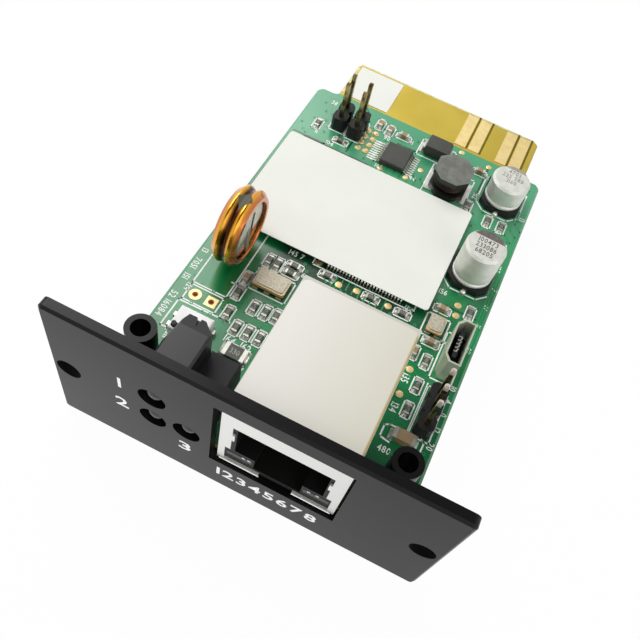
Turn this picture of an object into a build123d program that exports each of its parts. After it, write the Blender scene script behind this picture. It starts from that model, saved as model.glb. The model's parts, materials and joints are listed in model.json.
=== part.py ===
from build123d import *
import os

# A plug-in network management card, in millimetres.
# It is drawn with X across the card, Y from the faceplate's front towards the edge connector
# and Z up from the board's upper face, and set down at the end on the faceplate's lower edge.

# Faceplate
PANEL_W = 52.0
PANEL_H = 25.0
PANEL_T = 1.5
PANEL_DROP = 8.0
PANEL_CORNER_R = 0.8
PANEL_EDGE = 0.35
SCREW_HOLE_D = 3.3
SCREW_HOLE_INSET = 2.4
SCREW_HOLE_Z = 4.4
LAND_T = 0.2
LAND_H = 17.0
LAND_MARGIN = 0.25
LAND_EDGE_GAP = 0.5
BOSS_SPACING = 35.4
BOSS_Y = 6.8
BOSS_TOP = 9.5
BOSS_D = 4.0
BOSS_BORE = 2.5
BOSS_WEB_W = 3.0
BOSS_WEB_DROP = 2.0
GUSSET_T = 1.0
GUSSET_OUT = 1.1

# Circuit board and its edge connector
BOARD_W = 42.6
BOARD_T = 1.6
BOARD_GAP = 0.2
SHOULDER_Y = 69.9
SHOULDER_R = 1.2
TAB_LENGTH = 10.1
TAB_W = 35.9
TAB_SHIFT = 0.25
TAB_CORNER_R = 0.8
TAB_ROOT_R = 1.0
TAB_BEVEL = 0.4
FINGER_COUNT = 5
FINGER_GAP_AT = 2
FINGER_PITCH = 2.54
FINGER_W = 2.0
FINGER_FIRST_X = 5.6
FINGER_L = 8.7
FINGER_END_GAP = 0.6
PLATING_T = 0.06
LABEL_T = 0.1
TAB_LABEL_W = 8.4
TAB_LABEL_SIDE_GAP = 0.8
TAB_LABEL_ROOT_GAP = 0.6
TAB_LABEL_END_GAP = 0.8

# Faceplate screws
FIXING_SHANK_D = 2.3
FIXING_LENGTH = 6.5
FIXING_HEAD_D = 4.6
FIXING_HEAD_H = 1.6
FIXING_HEAD_BEVEL = 0.6
FIXING_HOLE_D = 2.9
CROSS_W = 0.7
CROSS_L = 2.4
CROSS_DEPTH = 0.9

# Network jack
JACK_X = 4.7
JACK_Y = 0.5
JACK_W = 16.0
JACK_H = 13.5
JACK_L = 21.0
JACK_WALL = 0.3
PORT_GAP_LEFT = 0.85
PORT_GAP_RIGHT = 0.3
PORT_GAP_TOP = 0.6
PORT_GAP_BELOW = 0.6
MOUTH_W = 12.8
MOUTH_TOP = 10.2
MOUTH_STEP_Z = 4.0
MOUTH_LOW_W = 14.2
MOUTH_LIP = 0.45
LATCH_GAP_W = 4.6
CAVITY_W = 11.8
CAVITY_FLOOR = 3.3
CAVITY_L = 15.0
LATCH_W = 6.4
LATCH_FLOOR = 0.9
WINDOW_W = 3.4
WINDOW_H = 1.9
WINDOW_L = 4.0
WINDOW_GAP = 0.3
INDICATOR_BEVEL = 0.45
CONTACT_COUNT = 8
CONTACT_PITCH = 1.02
CONTACT_W = 0.4
CONTACT_T = 0.25
CONTACT_SETBACK = 2.0
CONTACT_FLAT = 1.0
CONTACT_DROP = 2.4
CONTACT_TAIL = 3.5
PEG_D = 3.2
PEG_SPACING = 11.43
PEG_Y = 10.0
PEG_TAIL = 0.6
PEG_GAP = 0.1
MOUTH_NIB = 0.35
MOUTH_NIB_Z = 7.4
MOUTH_NIB_H = 1.5
JACK_PIN_W = 0.5
JACK_PIN_Y = 14.5
JACK_PIN_ROW = 2.54
SHIELD_TAB_W = 1.5
SHIELD_TAB_Y = 6.0
JACK_LABEL_L = 18.1
JACK_LABEL_Y = 2.9
JACK_LABEL_SIDE_GAP = 0.1
JACK_LABEL_CORNER_R = 1.0

# Light holder and its three lights
LED_HOLE_D = 3.7
LED_D = 3.0
LED_LENGTH = 5.2
LED_NOSE = ((0.6, 0.0), (1.0, 0.7))
LED_SETBACK = 0.2
LED_X = -12.0
LED_UPPER_Z = 8.0
LED_LOWER_Z = 2.8
STATUS_LED_X = -7.4
STATUS_LED_Z = 3.5
LED_LEAD_W = 0.45
LED_LEAD_PITCH = 2.54
HOLDER_GAP = 0.1
HOLDER_W = 4.8
HOLDER_H = 10.4
HOLDER_L = 9.9
HOLDER_LOW_W = 4.2
HOLDER_LOW_H = 6.2
HOLDER_LOW_L = 8.4
HOLDER_EDGE = 0.3
HOLDER_CUT = 1.8
HOLDER_TAPER = 0.7
HOLDER_TAPER_L = 5.0
HOLDER_SLOPE_L = 2.2
HOLDER_SLOPE_DROP = 0.9
HOLDER_NOTCH_W = 0.6
HOLDER_NOTCH_L = 1.6
HOLDER_NOTCH_DEPTH = 1.5
HOLDER_SLOT_W = 3.2
HOLDER_SLOT_ROOM = 0.6
LED_FIT = 0.1
LED_BACK_GAP = 0.3
UPPER_BEND_Y = 9.4
LOWER_BEND_Y = 7.0

# Slide switch
SWITCH_X = -15.15
SWITCH_Y = 14.45
SWITCH_W = 5.0
SWITCH_L = 4.0
SWITCH_H = 1.9
SWITCH_EDGE = 0.15
SLIDER_D = 0.7
SLIDER_H = 0.5
SLIDER_TRAVEL = 1.5
SLIDER_DEPTH = 0.8
SLIDER_START_X = -17.0
SLIDER_START_Y = 13.15
SLIDER_GAP = 0.1
SLIDER_FLOOR_GAP = 0.05
SWITCH_TERMINAL_W = 0.7
SWITCH_TERMINAL_T = 0.2
SWITCH_TERMINAL_OUT = 0.65
SWITCH_TERMINAL_PITCH = 1.75
SWITCH_TERMINAL_Z = 0.8

# Supercapacitor: two coin cells in a shrunk sleeve, on edge
SLEEVE_R = 5.8
SLEEVE_WALL = 0.25
SLEEVE_MOUTH_R = 4.5
SLEEVE_WAIST = 0.35
SLEEVE_SHOULDER_DROP = 0.55
SLEEVE_RIDGE_X = 0.95
STACK_T = 3.6
STACK_X = -16.1
STACK_Y = 29.4
STACK_CLEAR = 0.4
CELL_BUTTON_R = 4.2
CELL_BUTTON_T = 0.2
CELL_GAP = 0.07
CELL_SPACING = 0.2
STACK_LEAD_W = 0.8
STACK_LEAD_T = 0.2
STACK_SLOT_W = 1.2
STACK_SLOT_TOP = 1.6

# Crystals in metal cans on ceramic bases
LARGE_CRYSTAL = (5.0, 3.2, 1.2)
LARGE_CRYSTAL_AT = (-9.1, 26.8)
SMALL_CRYSTAL = (2.5, 3.2, 1.0)
SMALL_CRYSTAL_AT = (14.7, 32.8)
CRYSTAL_RIM = 0.3
CRYSTAL_LID = 0.15

# Electrolytic capacitors
CAN_D = 6.3
CAN_BASE_W = 6.6
CAN_BASE_H = 1.1
CAN_BASE_CHAMFER = 1.3
CAN_EDGE = 0.35
CAN_FOOT_EDGE = 0.12
CAN_GROOVE_Z = 0.7
CAN_GROOVE_DEPTH = 0.25
CAN_GROOVE_HALF_W = 0.25
TALL_CAN_H = 7.7
TALL_CAN_AT = (16.3, 44.4)
SHORT_CAN_H = 5.4
SHORT_CAN_AT = (16.0, 62.2)
CAN_TERMINAL_W = 1.0
CAN_TERMINAL_OUT = 0.6
CAN_TERMINAL_IN = 1.6
CAN_TERMINAL_GAP = 0.1
CAN_TERMINAL_T = 0.15

# Power inductor
COIL_W = 6.1
COIL_L = 6.6
COIL_H = 4.2
COIL_AT = (7.0, 60.0)
COIL_CORNER = 1.7
COIL_FLANGE = 0.9
COIL_DRUM_R = 2.2
COIL_WINDING_R = 2.9
COIL_TERMINAL_T = 0.25
COIL_TERMINAL_W = 5.0
COIL_TERMINAL_OUT = 0.6
COIL_TERMINAL_IN = 1.5

# Diode
DIODE_L = 4.4
DIODE_W = 3.6
DIODE_H = 2.1
DIODE_AT = (2.7, 66.4)
DIODE_TERMINAL_W = 2.1
DIODE_TERMINAL_T = 0.2
DIODE_TERMINAL_OUT = 0.35
DIODE_TERMINAL_UNDER = 0.9
DIODE_LEAN = 0.25

# Leaded chips; a lead is given by its reach, the length of its foot and its width
STANDOFF = 0.12
LEAD_T = 0.14
PROCESSOR_W = 14.0
PROCESSOR_T = 1.0
PROCESSOR_AT = (2.6, 41.8)
PROCESSOR_PINS = 25
PROCESSOR_PITCH = 0.5
PROCESSOR_LEAD = (1.0, 0.45, 0.22)
MEMORY_W = 12.0
MEMORY_L = 18.4
MEMORY_T = 1.0
MEMORY_AT = (-12.2, 46.9)
MEMORY_PINS = 24
MEMORY_PITCH = 0.5
MEMORY_LEAD = (0.8, 0.4, 0.22)
INTERFACE_W = 4.4
INTERFACE_L = 5.0
INTERFACE_T = 1.0
INTERFACE_AT = (-2.9, 60.8)
INTERFACE_PINS = 9
INTERFACE_PITCH = 0.55
INTERFACE_LEAD = (1.1, 0.5, 0.3)
TRANSCEIVER_W = 5.0
TRANSCEIVER_T = 0.85
TRANSCEIVER_AT = (3.6, 26.4)
CHIP_EDGE = 0.15

# Blank sticker over the two large chips
STICKER_W = 32.9
STICKER_L = 21.7
STICKER_AT = (-3.75, 44.75)
STICKER_CORNER_R = 0.6

# Upright micro socket
SOCKET_AT = (18.35, 28.8)
SOCKET_W = 2.6
SOCKET_L = 7.6
SOCKET_H = 5.0
SOCKET_CORNER = 0.8
SOCKET_CORNER_RISE = 0.95
SOCKET_WALL = 0.25
SOCKET_DEPTH = 4.2
TONGUE_W = 0.6
TONGUE_L = 4.6
TONGUE_SETBACK = 0.8

# Pin headers
PIN_PITCH = 2.54
PIN_W = 0.64
SOLDER_GAP = 0.1
PIN_TAIL = 1.2
HEADER_W = 2.5
HEADER_H = 2.5
HEADER_CORNER = 0.55
SERIAL_PINS = 3
SERIAL_AT = (18.65, 19.15)
SERIAL_TIP_Z = 4.7
JUMPER_PINS = 2
JUMPER_LEFT_AT = (-14.3, 63.7)
JUMPER_RIGHT_AT = (-11.2, 63.3)
JUMPER_TIP_Z = 9.3

# Parts soldered flat: length, width, height and the length of each end cap
CERAMIC_CAPACITOR = (3.2, 1.6, 1.3, 0.5)
CERAMIC_CAPACITOR_AT = (16.9, 13.95)
LARGE_RESISTOR = (3.3, 2.0, 0.6, 0.6)
LARGE_RESISTOR_AT = (-8.3, 14.2)
SMALL_CHIP = (1.6, 0.8, 0.45, 0.3)
SMALL_CAPACITOR = (1.6, 0.8, 0.8, 0.35)

# Small resistors that lie along the card
RESISTORS_ALONG = [
    (-12.2, 19.5), (-10.1, 17.9), (-8.3, 18.0), (-6.5, 18.0),
    (-9.5, 22.1), (-7.7, 22.2), (-6.1, 22.4), (-12.6, 23.2),
    (-11.4, 30.6), (-10.0, 30.6),
    (15.5, 26.6), (15.7, 22.4), (15.8, 18.3),
    (18.6, 37.8), (17.8, 56.6), (15.4, 56.6), (11.4, 58.0), (-17.6, 60.9),
]
# Small resistors that lie across the card
RESISTORS_ACROSS = [
    (-7.7, 31.6), (-7.7, 30.1), (-2.8, 32.6), (4.4, 32.4), (9.6, 32.3), (-12.6, 59.2),
]
# Small ceramic capacitors, along and across the card
CAPACITORS_ALONG = [(-12.7, 26.0), (13.4, 27.2), (8.4, 24.6), (-1.2, 24.6), (-8.2, 67.0), (-6.2, 66.6)]
CAPACITORS_ACROSS = [(14.6, 36.2), (15.0, 29.9), (-3.6, 66.6), (10.8, 66.4), (3.6, 30.0)]

# Bare gold-plated pads
TEST_PAD_D = 1.0
TEST_PADS = [
    (16.5, 38.2), (16.8, 36.3), (13.9, 24.3), (14.0, 20.0), (7.2, 32.5),
    (2.1, 32.5), (-0.7, 32.1), (-4.9, 34.2),
]
SPARE_PAD_D = 1.7
SPARE_HOLE_D = 0.9
SPARE_ROUND_AT = (-17.6, 19.8)
ROW_COUNT = 4
ROW_PITCH = 1.6
ROW_COLUMNS = (-9.5, -8.1)
ROW_FIRST_Y = 59.7
ROW_PAD_D = 1.1

# Two places count as one when they are this close
CLOSE = 0.01

# Places that follow from the sizes above
BOARD_FRONT_Y = PANEL_T + BOARD_GAP
BOARD_REAR_Y = SHOULDER_Y + TAB_LENGTH
PANEL_MID_Z = PANEL_H / 2 - PANEL_DROP
SCREW_HOLE_SPACING = PANEL_W - 2 * SCREW_HOLE_INSET
JACK_LEFT = JACK_X - JACK_W / 2
JACK_RIGHT = JACK_X + JACK_W / 2
JACK_REAR = JACK_Y + JACK_L
STACK_R_CENTRE_Z = SLEEVE_R + STACK_CLEAR
SPARE_SQUARE_AT = (SPARE_ROUND_AT[0] + PIN_PITCH, SPARE_ROUND_AT[1])
PANEL_REAR_CLEAR = PANEL_T + HOLDER_GAP
PROCESSOR_TOP = STANDOFF + PROCESSOR_T
MEMORY_TOP = STANDOFF + MEMORY_T
ORIGIN_SHIFT = (0, -BOARD_REAR_Y / 2, PANEL_DROP)


def block(x0, x1, y0, y1, z0, z1):
    """A box between two corners."""
    middle = Pos((x0 + x1) / 2, (y0 + y1) / 2, (z0 + z1) / 2)
    return middle * Box(x1 - x0, y1 - y0, z1 - z0)


def upright(x, y, z0, z1, diameter):
    """A round bar that stands on Z."""
    return Pos(x, y, (z0 + z1) / 2) * Cylinder(diameter / 2, z1 - z0)


def along_y(x, z, y0, y1, diameter):
    """A round bar that lies along Y."""
    return Pos(x, (y0 + y1) / 2, z) * Rot(90, 0, 0) * Cylinder(diameter / 2, y1 - y0)


def prism(points, z0, z1):
    """An outline in X and Y drawn up from z0 to z1."""
    return Pos(0, 0, z0) * extrude(make_face(Polyline(*points, close=True)), z1 - z0)


def prism_xz(points, y0, width):
    """An outline in X and Z drawn along Y."""
    face = make_face(Polyline(*[(x, y0, z) for x, z in points], close=True))
    return extrude(face, width, dir=(0, 1, 0))


def prism_yz(points, x0, width):
    """An outline in Y and Z drawn along X."""
    face = make_face(Polyline(*[(x0, y, z) for y, z in points], close=True))
    return extrude(face, width, dir=(1, 0, 0))


def chamfered_plate(x, y, width, length, corner, z0, z1):
    """A plate with its four corners cut off."""
    outline = chamfer(Rectangle(width, length).vertices(), corner)
    return Pos(x, y, z0) * extrude(outline, z1 - z0)


def group(solids):
    """Separate solids of one kind, kept together as one node."""
    return Compound(children=list(solids))


def row(count, pitch):
    """Places of equal pitch, centred on zero."""
    return [(i - (count - 1) / 2) * pitch for i in range(count)]


def boss_centres():
    return [(side * BOSS_SPACING / 2, BOSS_Y) for side in (-1, 1)]


def header_pins(at, count):
    return [(at[0], at[1] + step) for step in row(count, PIN_PITCH)]


def all_header_pins():
    pins = header_pins(SERIAL_AT, SERIAL_PINS)
    pins += header_pins(JUMPER_LEFT_AT, JUMPER_PINS)
    pins += header_pins(JUMPER_RIGHT_AT, JUMPER_PINS)
    return pins


def jack_pins():
    """Two staggered rows of pins under the jack."""
    pins = []
    for i, step in enumerate(row(CONTACT_COUNT, PIN_PITCH / 2)):
        pins.append((JACK_X + step, JACK_PIN_Y + (i % 2) * JACK_PIN_ROW))
    return pins


def led_places():
    """Centre of each light on the faceplate, with the Y of its leads' bend."""
    return {
        "power_led": (LED_X, LED_UPPER_Z, UPPER_BEND_Y),
        "run_led": (LED_X, LED_LOWER_Z, LOWER_BEND_Y),
        "status_led": (STATUS_LED_X, STATUS_LED_Z, LOWER_BEND_Y),
    }


def led_lead_places():
    """Each lead as its X, the height it starts from and the Y where it turns down."""
    places = []
    for x, z, bend_y in led_places().values():
        places += [(x + step, z, bend_y) for step in row(2, LED_LEAD_PITCH)]
    return places


def stack_lead_places():
    """X of the supercapacitor's two leads, one against each outer face."""
    half = STACK_T / 2 - SLEEVE_WALL - STACK_LEAD_T
    return [(STACK_X - half, STACK_Y), (STACK_X + half, STACK_Y)]


def faceplate():
    """One moulding: the plate, its openings, a raised land behind each end and two screw bosses."""
    outline = Rectangle(PANEL_W, PANEL_H)
    outline = fillet(outline.vertices(), PANEL_CORNER_R)
    plate = Pos(0, PANEL_T, PANEL_MID_Z) * Rot(90, 0, 0) * extrude(outline, PANEL_T)
    front = plate.faces().sort_by(Axis.Y)[0]
    body = chamfer(front.edges(), min(PANEL_EDGE, PANEL_T / 3))
    web_top = BOSS_TOP - BOSS_WEB_DROP
    for x, y in boss_centres():
        web = block(x - BOSS_WEB_W / 2, x + BOSS_WEB_W / 2, PANEL_T, y, 0, web_top)
        body = body + web + upright(x, y, 0, BOSS_TOP, BOSS_D)
        outward = -1 if x > 0 else 1
        inner = x + outward * BOSS_WEB_W / 2
        gusset = prism(
            [(inner, PANEL_T), (inner + outward * GUSSET_OUT, PANEL_T), (inner, PANEL_T + GUSSET_OUT)],
            web_top - GUSSET_T,
            web_top,
        )
        body = body + gusset
    for x, y in boss_centres():
        body = body - upright(x, y, 0, BOSS_TOP, BOSS_BORE)
    near = SCREW_HOLE_SPACING / 2 - SCREW_HOLE_D / 2 - LAND_MARGIN
    far = PANEL_W / 2 - LAND_EDGE_GAP
    low = SCREW_HOLE_Z - LAND_H / 2
    for x0, x1 in ((-far, -near), (near, far)):
        body = body + block(x0, x1, PANEL_T, PANEL_T + LAND_T, low, low + LAND_H)
    for step in row(2, SCREW_HOLE_SPACING):
        body = body - along_y(step, SCREW_HOLE_Z, 0, PANEL_T + LAND_T, SCREW_HOLE_D)
    for x, z, bend_y in led_places().values():
        body = body - along_y(x, z, 0, PANEL_T, LED_HOLE_D)
    port = block(
        JACK_LEFT - PORT_GAP_LEFT, JACK_RIGHT + PORT_GAP_RIGHT,
        0, PANEL_T,
        -PORT_GAP_BELOW, JACK_H + PORT_GAP_TOP,
    )
    return body - port


def board_outline():
    """The board's face: a wide body, a narrower connector tab and rounded corners."""
    body_l = SHOULDER_Y - BOARD_FRONT_Y
    body = Pos(0, BOARD_FRONT_Y + body_l / 2) * Rectangle(BOARD_W, body_l)
    tab = Pos(TAB_SHIFT, SHOULDER_Y + TAB_LENGTH / 2) * Rectangle(TAB_W, TAB_LENGTH)
    face = body + tab
    shoulders = [v for v in corners_at(face, SHOULDER_Y) if abs(v.X) > BOARD_W / 2 - CLOSE]
    face = fillet(shoulders, SHOULDER_R)
    roots = [v for v in corners_at(face, SHOULDER_Y) if abs(v.X - TAB_SHIFT) < TAB_W / 2 + CLOSE]
    face = fillet(roots, TAB_ROOT_R)
    return fillet(corners_at(face, BOARD_REAR_Y), TAB_CORNER_R)


def corners_at(face, y):
    """The corners of an outline that lie on one line across the card."""
    return [v for v in face.vertices() if abs(v.Y - y) < CLOSE]


def circuit_board():
    """The laminate: its round holes, and the openings that solder leaves round each lead and pin."""
    board = Pos(0, 0, -BOARD_T) * extrude(board_outline(), BOARD_T)
    end = board.faces().sort_by(Axis.Y)[-1]
    board = chamfer(end.edges().filter_by(Axis.X), min(TAB_BEVEL, BOARD_T / 3))
    for x, y, diameter in round_holes():
        board = board - upright(x, y, -BOARD_T, 0, diameter)
    for x, y, width, length in soldered_openings():
        board = board - block(x - width / 2, x + width / 2, y - length / 2, y + length / 2, -BOARD_T, 0)
    return board


def round_holes():
    """Each drilled hole that stays open: its centre and diameter."""
    holes = [(x, y, FIXING_HOLE_D) for x, y in boss_centres()]
    holes += [(JACK_X + step, PEG_Y, PEG_D + 2 * PEG_GAP) for step in row(2, PEG_SPACING)]
    holes += [(*SPARE_ROUND_AT, SPARE_HOLE_D), (*SPARE_SQUARE_AT, SPARE_HOLE_D)]
    return holes


def soldered_openings():
    """Each lead's opening: its centre, width and length, with a gap all round."""
    leads = [(x, y, PIN_W, PIN_W) for x, y in all_header_pins()]
    leads += [(x, y, JACK_PIN_W, JACK_PIN_W) for x, y in jack_pins()]
    leads += [(x, bend_y, LED_LEAD_W, LED_LEAD_W) for x, z, bend_y in led_lead_places()]
    leads += [(x, y, STACK_LEAD_T, STACK_LEAD_W) for x, y in stack_lead_places()]
    leads += [(x, SHIELD_TAB_Y, JACK_WALL, SHIELD_TAB_W) for x in shield_tab_places()]
    return [(x, y, width + 2 * SOLDER_GAP, length + 2 * SOLDER_GAP) for x, y, width, length in leads]


def shield_tab_places():
    return [JACK_LEFT + JACK_WALL / 2, JACK_RIGHT - JACK_WALL / 2]


def tab_span():
    return SHIELD_TAB_Y - SHIELD_TAB_W / 2, SHIELD_TAB_Y + SHIELD_TAB_W / 2


def edge_fingers():
    """Gold contacts on both faces of the tab: two pairs with one place left empty."""
    y1 = BOARD_REAR_Y - FINGER_END_GAP
    y0 = y1 - FINGER_L
    fingers = []
    for i in range(FINGER_COUNT):
        if i == FINGER_GAP_AT:
            continue
        x = FINGER_FIRST_X + i * FINGER_PITCH
        for z in (0, -BOARD_T - PLATING_T):
            fingers.append(block(x - FINGER_W / 2, x + FINGER_W / 2, y0, y1, z, z + PLATING_T))
    return group(fingers)


def board_pads():
    """Bare gold pads: test points, two spare lead holes and a small connector's pads."""
    pads = [eight_sided_pad(x, y, TEST_PAD_D) for x, y in TEST_PADS]
    for column in ROW_COLUMNS:
        for i in range(ROW_COUNT):
            pads.append(eight_sided_pad(column, ROW_FIRST_Y + i * ROW_PITCH, ROW_PAD_D))
    x, y = SPARE_ROUND_AT
    pads.append(eight_sided_pad(x, y, SPARE_PAD_D) - upright(x, y, 0, PLATING_T, SPARE_HOLE_D))
    x, y = SPARE_SQUARE_AT
    half = SPARE_PAD_D / 2
    square = block(x - half, x + half, y - half, y + half, 0, PLATING_T)
    pads.append(square - upright(x, y, 0, PLATING_T, SPARE_HOLE_D))
    return group(pads)


def eight_sided_pad(x, y, across):
    """A pad with eight equal sides, given by its size across two of them."""
    outline = Rot(0, 0, 22.5) * RegularPolygon(across / 2, 8, major_radius=False)
    return Pos(x, y, 0) * extrude(outline, PLATING_T)


def tab_label():
    """A blank white patch at the left end of the connector tab."""
    x0 = TAB_SHIFT - TAB_W / 2 + TAB_LABEL_SIDE_GAP
    y0 = SHOULDER_Y + TAB_LABEL_ROOT_GAP
    return block(x0, x0 + TAB_LABEL_W, y0, BOARD_REAR_Y - TAB_LABEL_END_GAP, 0, LABEL_T)


def faceplate_screws():
    """Two pan-head screws that come up through the board into the bosses."""
    screws = []
    for x, y in boss_centres():
        under = -BOARD_T
        shank = upright(x, y, under, under + FIXING_LENGTH, FIXING_SHANK_D)
        head = upright(x, y, under - FIXING_HEAD_H, under, FIXING_HEAD_D)
        head = chamfer(head.edges().sort_by(Axis.Z)[0], min(FIXING_HEAD_BEVEL, FIXING_HEAD_H * 0.6))
        arm = Box(CROSS_L, CROSS_W, CROSS_DEPTH)
        cross = Pos(x, y, under - FIXING_HEAD_H + CROSS_DEPTH / 2) * (arm + Rot(0, 0, 90) * arm)
        screws.append(shank + head - cross)
    return group(screws)


def rj45_shield():
    """Folded sheet over the jack: five walls, the mouth cut in the front one and two solder tabs."""
    outer = block(JACK_LEFT, JACK_RIGHT, JACK_Y, JACK_REAR, 0, JACK_H)
    inner = block(
        JACK_LEFT + JACK_WALL, JACK_RIGHT - JACK_WALL,
        JACK_Y + JACK_WALL, JACK_REAR - JACK_WALL,
        0, JACK_H - JACK_WALL,
    )
    mouth = block(
        JACK_X - MOUTH_W / 2, JACK_X + MOUTH_W / 2,
        JACK_Y, JACK_Y + JACK_WALL,
        MOUTH_STEP_Z, MOUTH_TOP,
    )
    mouth += block(
        JACK_X - MOUTH_LOW_W / 2, JACK_X + MOUTH_LOW_W / 2,
        JACK_Y, JACK_Y + JACK_WALL,
        MOUTH_LIP, MOUTH_STEP_Z,
    )
    for side in (-1, 1):
        edge = JACK_X + side * MOUTH_W / 2
        tip = edge - side * MOUTH_NIB
        mouth -= block(
            min(edge, tip), max(edge, tip),
            JACK_Y, JACK_Y + JACK_WALL,
            MOUTH_NIB_Z - MOUTH_NIB_H / 2, MOUTH_NIB_Z + MOUTH_NIB_H / 2,
        )
    latch = block(
        JACK_X - LATCH_GAP_W / 2, JACK_X + LATCH_GAP_W / 2,
        JACK_Y, JACK_Y + JACK_WALL,
        0, MOUTH_LIP,
    )
    shield = outer - inner - mouth - latch
    for x in shield_tab_places():
        y0, y1 = tab_span()
        shield += block(x - JACK_WALL / 2, x + JACK_WALL / 2, y0, y1, -BOARD_T - PIN_TAIL, 0)
    return shield


def rj45_housing():
    """Black moulding inside the shield, with the plug cavity, the latch channel and two pegs."""
    front = JACK_Y + JACK_WALL
    housing = block(
        JACK_LEFT + JACK_WALL, JACK_RIGHT - JACK_WALL,
        front, JACK_REAR - JACK_WALL,
        0, JACK_H - JACK_WALL,
    )
    half = CAVITY_W / 2
    housing -= block(JACK_X - half, JACK_X + half, front, front + CAVITY_L, CAVITY_FLOOR, MOUTH_TOP)
    half = LATCH_W / 2
    housing -= block(JACK_X - half, JACK_X + half, front, front + CAVITY_L, LATCH_FLOOR, CAVITY_FLOOR)
    for side in (-1, 1):
        x0, x1 = window_span(side)
        housing -= block(x0, x1, front, front + WINDOW_L, LATCH_FLOOR, LATCH_FLOOR + WINDOW_H)
    for step in row(2, PEG_SPACING):
        housing += upright(JACK_X + step, PEG_Y, -BOARD_T - PEG_TAIL, 0, PEG_D)
    return housing


def window_span(side):
    """X range of the indicator window left (-1) or right (1) of the latch channel."""
    inner = JACK_X + side * (LATCH_W / 2 + WINDOW_GAP)
    outer = inner + side * WINDOW_W
    return min(inner, outer), max(inner, outer)


def rj45_indicator(side):
    """Clear bar behind the mouth's lower corner."""
    x0, x1 = window_span(side)
    front = JACK_Y + JACK_WALL
    bar = block(x0, x1, front, front + WINDOW_L, LATCH_FLOOR, LATCH_FLOOR + WINDOW_H)
    top_front = bar.edges().filter_by(Axis.X).sort_by(lambda e: e.center().Z - e.center().Y)[-1]
    return chamfer(top_front, min(INDICATOR_BEVEL, WINDOW_H / 2))


def rj45_contacts():
    """Eight sprung contacts that hang from the cavity's roof, and the pins below the housing."""
    y0 = JACK_Y + JACK_WALL + CONTACT_SETBACK
    y1 = JACK_Y + JACK_WALL + CAVITY_L
    bend = y0 + CONTACT_FLAT
    heel = y1 - CONTACT_TAIL
    low = MOUTH_TOP - CONTACT_DROP
    top = MOUTH_TOP
    t = CONTACT_T
    profile = [
        (y0, top - t), (y0, top), (bend, top), (heel, low + t), (y1, low + t),
        (y1, low), (heel, low), (bend, top - t),
    ]
    solids = []
    for step in row(CONTACT_COUNT, CONTACT_PITCH):
        solids.append(prism_yz(profile, JACK_X + step - CONTACT_W / 2, CONTACT_W))
    half = JACK_PIN_W / 2
    for x, y in jack_pins():
        solids.append(block(x - half, x + half, y - half, y + half, -BOARD_T - PIN_TAIL, 0))
    return group(solids)


def rj45_label():
    """Blank paper label on the shield's roof, with its two far corners rounded."""
    outline = Rectangle(JACK_W - 2 * JACK_LABEL_SIDE_GAP, JACK_LABEL_L)
    outline = Pos(JACK_X, JACK_LABEL_Y + JACK_LABEL_L / 2) * outline
    outline = fillet(outline.vertices().group_by(Axis.Y)[-1], JACK_LABEL_CORNER_R)
    return Pos(0, 0, JACK_H) * extrude(outline, LABEL_T)


def led_holder():
    """Black block: a tall half for two lights, whose rear end tapers, and a low half for the third."""
    y0 = PANEL_REAR_CLEAR
    y1 = y0 + HOLDER_L
    left = LED_X - HOLDER_W / 2
    right = LED_X + HOLDER_W / 2
    tall = prism(
        [
            (left, y0), (right, y0), (right, y1 - HOLDER_CUT), (right - HOLDER_CUT, y1),
            (left + HOLDER_TAPER, y1), (left, y1 - HOLDER_TAPER_L),
        ],
        0, HOLDER_H,
    )
    tall = chamfer(tall.edges().group_by(Axis.Z)[-1], HOLDER_EDGE)
    tall -= prism_yz(
        [(y1 - HOLDER_SLOPE_L, HOLDER_H), (y1, HOLDER_H), (y1, HOLDER_H - HOLDER_SLOPE_DROP)],
        left, HOLDER_W,
    )
    tall -= prism(
        [(LED_X - HOLDER_NOTCH_W, y1), (LED_X, y1), (LED_X, y1 - HOLDER_NOTCH_L)],
        HOLDER_H - HOLDER_NOTCH_DEPTH, HOLDER_H,
    )
    low = block(right, right + HOLDER_LOW_W, y0, y0 + HOLDER_LOW_L, 0, HOLDER_LOW_H)
    low = chamfer(low.edges().group_by(Axis.Z)[-1].sort_by(Axis.X)[-1], HOLDER_EDGE)
    holder = tall + low
    half = HOLDER_SLOT_W / 2
    for x, z, bend_y in led_places().values():
        holder -= along_y(x, z, y0, led_rear_y() + LED_BACK_GAP, LED_D + LED_FIT)
        holder -= block(
            x - half, x + half,
            led_rear_y(), bend_y + HOLDER_SLOT_ROOM,
            0, z + HOLDER_SLOT_ROOM,
        )
    return holder


def led_rear_y():
    return LED_SETBACK + LED_LENGTH


def led(x, z):
    """A round light, turned about its own axis: a nose that narrows in steps and a plain barrel."""
    r = LED_D / 2
    profile = [(0, 0)]
    profile += [(share * r, depth * r) for share, depth in LED_NOSE]
    profile += [(r, LED_LENGTH), (0, LED_LENGTH)]
    return Pos(x, LED_SETBACK, z) * revolve(make_face(Polyline(*profile, close=True)), Axis.Y)


def led_leads():
    """Six square leads that run back from the lights and turn down through the board."""
    solids = []
    half = LED_LEAD_W / 2
    for x, z, bend_y in led_lead_places():
        back = block(x - half, x + half, led_rear_y(), bend_y + half, z - half, z + half)
        down = block(x - half, x + half, bend_y - half, bend_y + half, -BOARD_T - PIN_TAIL, z)
        solids.append(back + down)
    return group(solids)


def slider_slot():
    """The round-ended slot in the switch's cover that the knob runs in."""
    width = SLIDER_D + 2 * SLIDER_GAP
    outline = SlotCenterToCenter(SLIDER_TRAVEL, width)
    middle = Pos(SLIDER_START_X + SLIDER_TRAVEL / 2, SLIDER_START_Y, SWITCH_H - SLIDER_DEPTH)
    return middle * extrude(outline, SLIDER_DEPTH)


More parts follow.
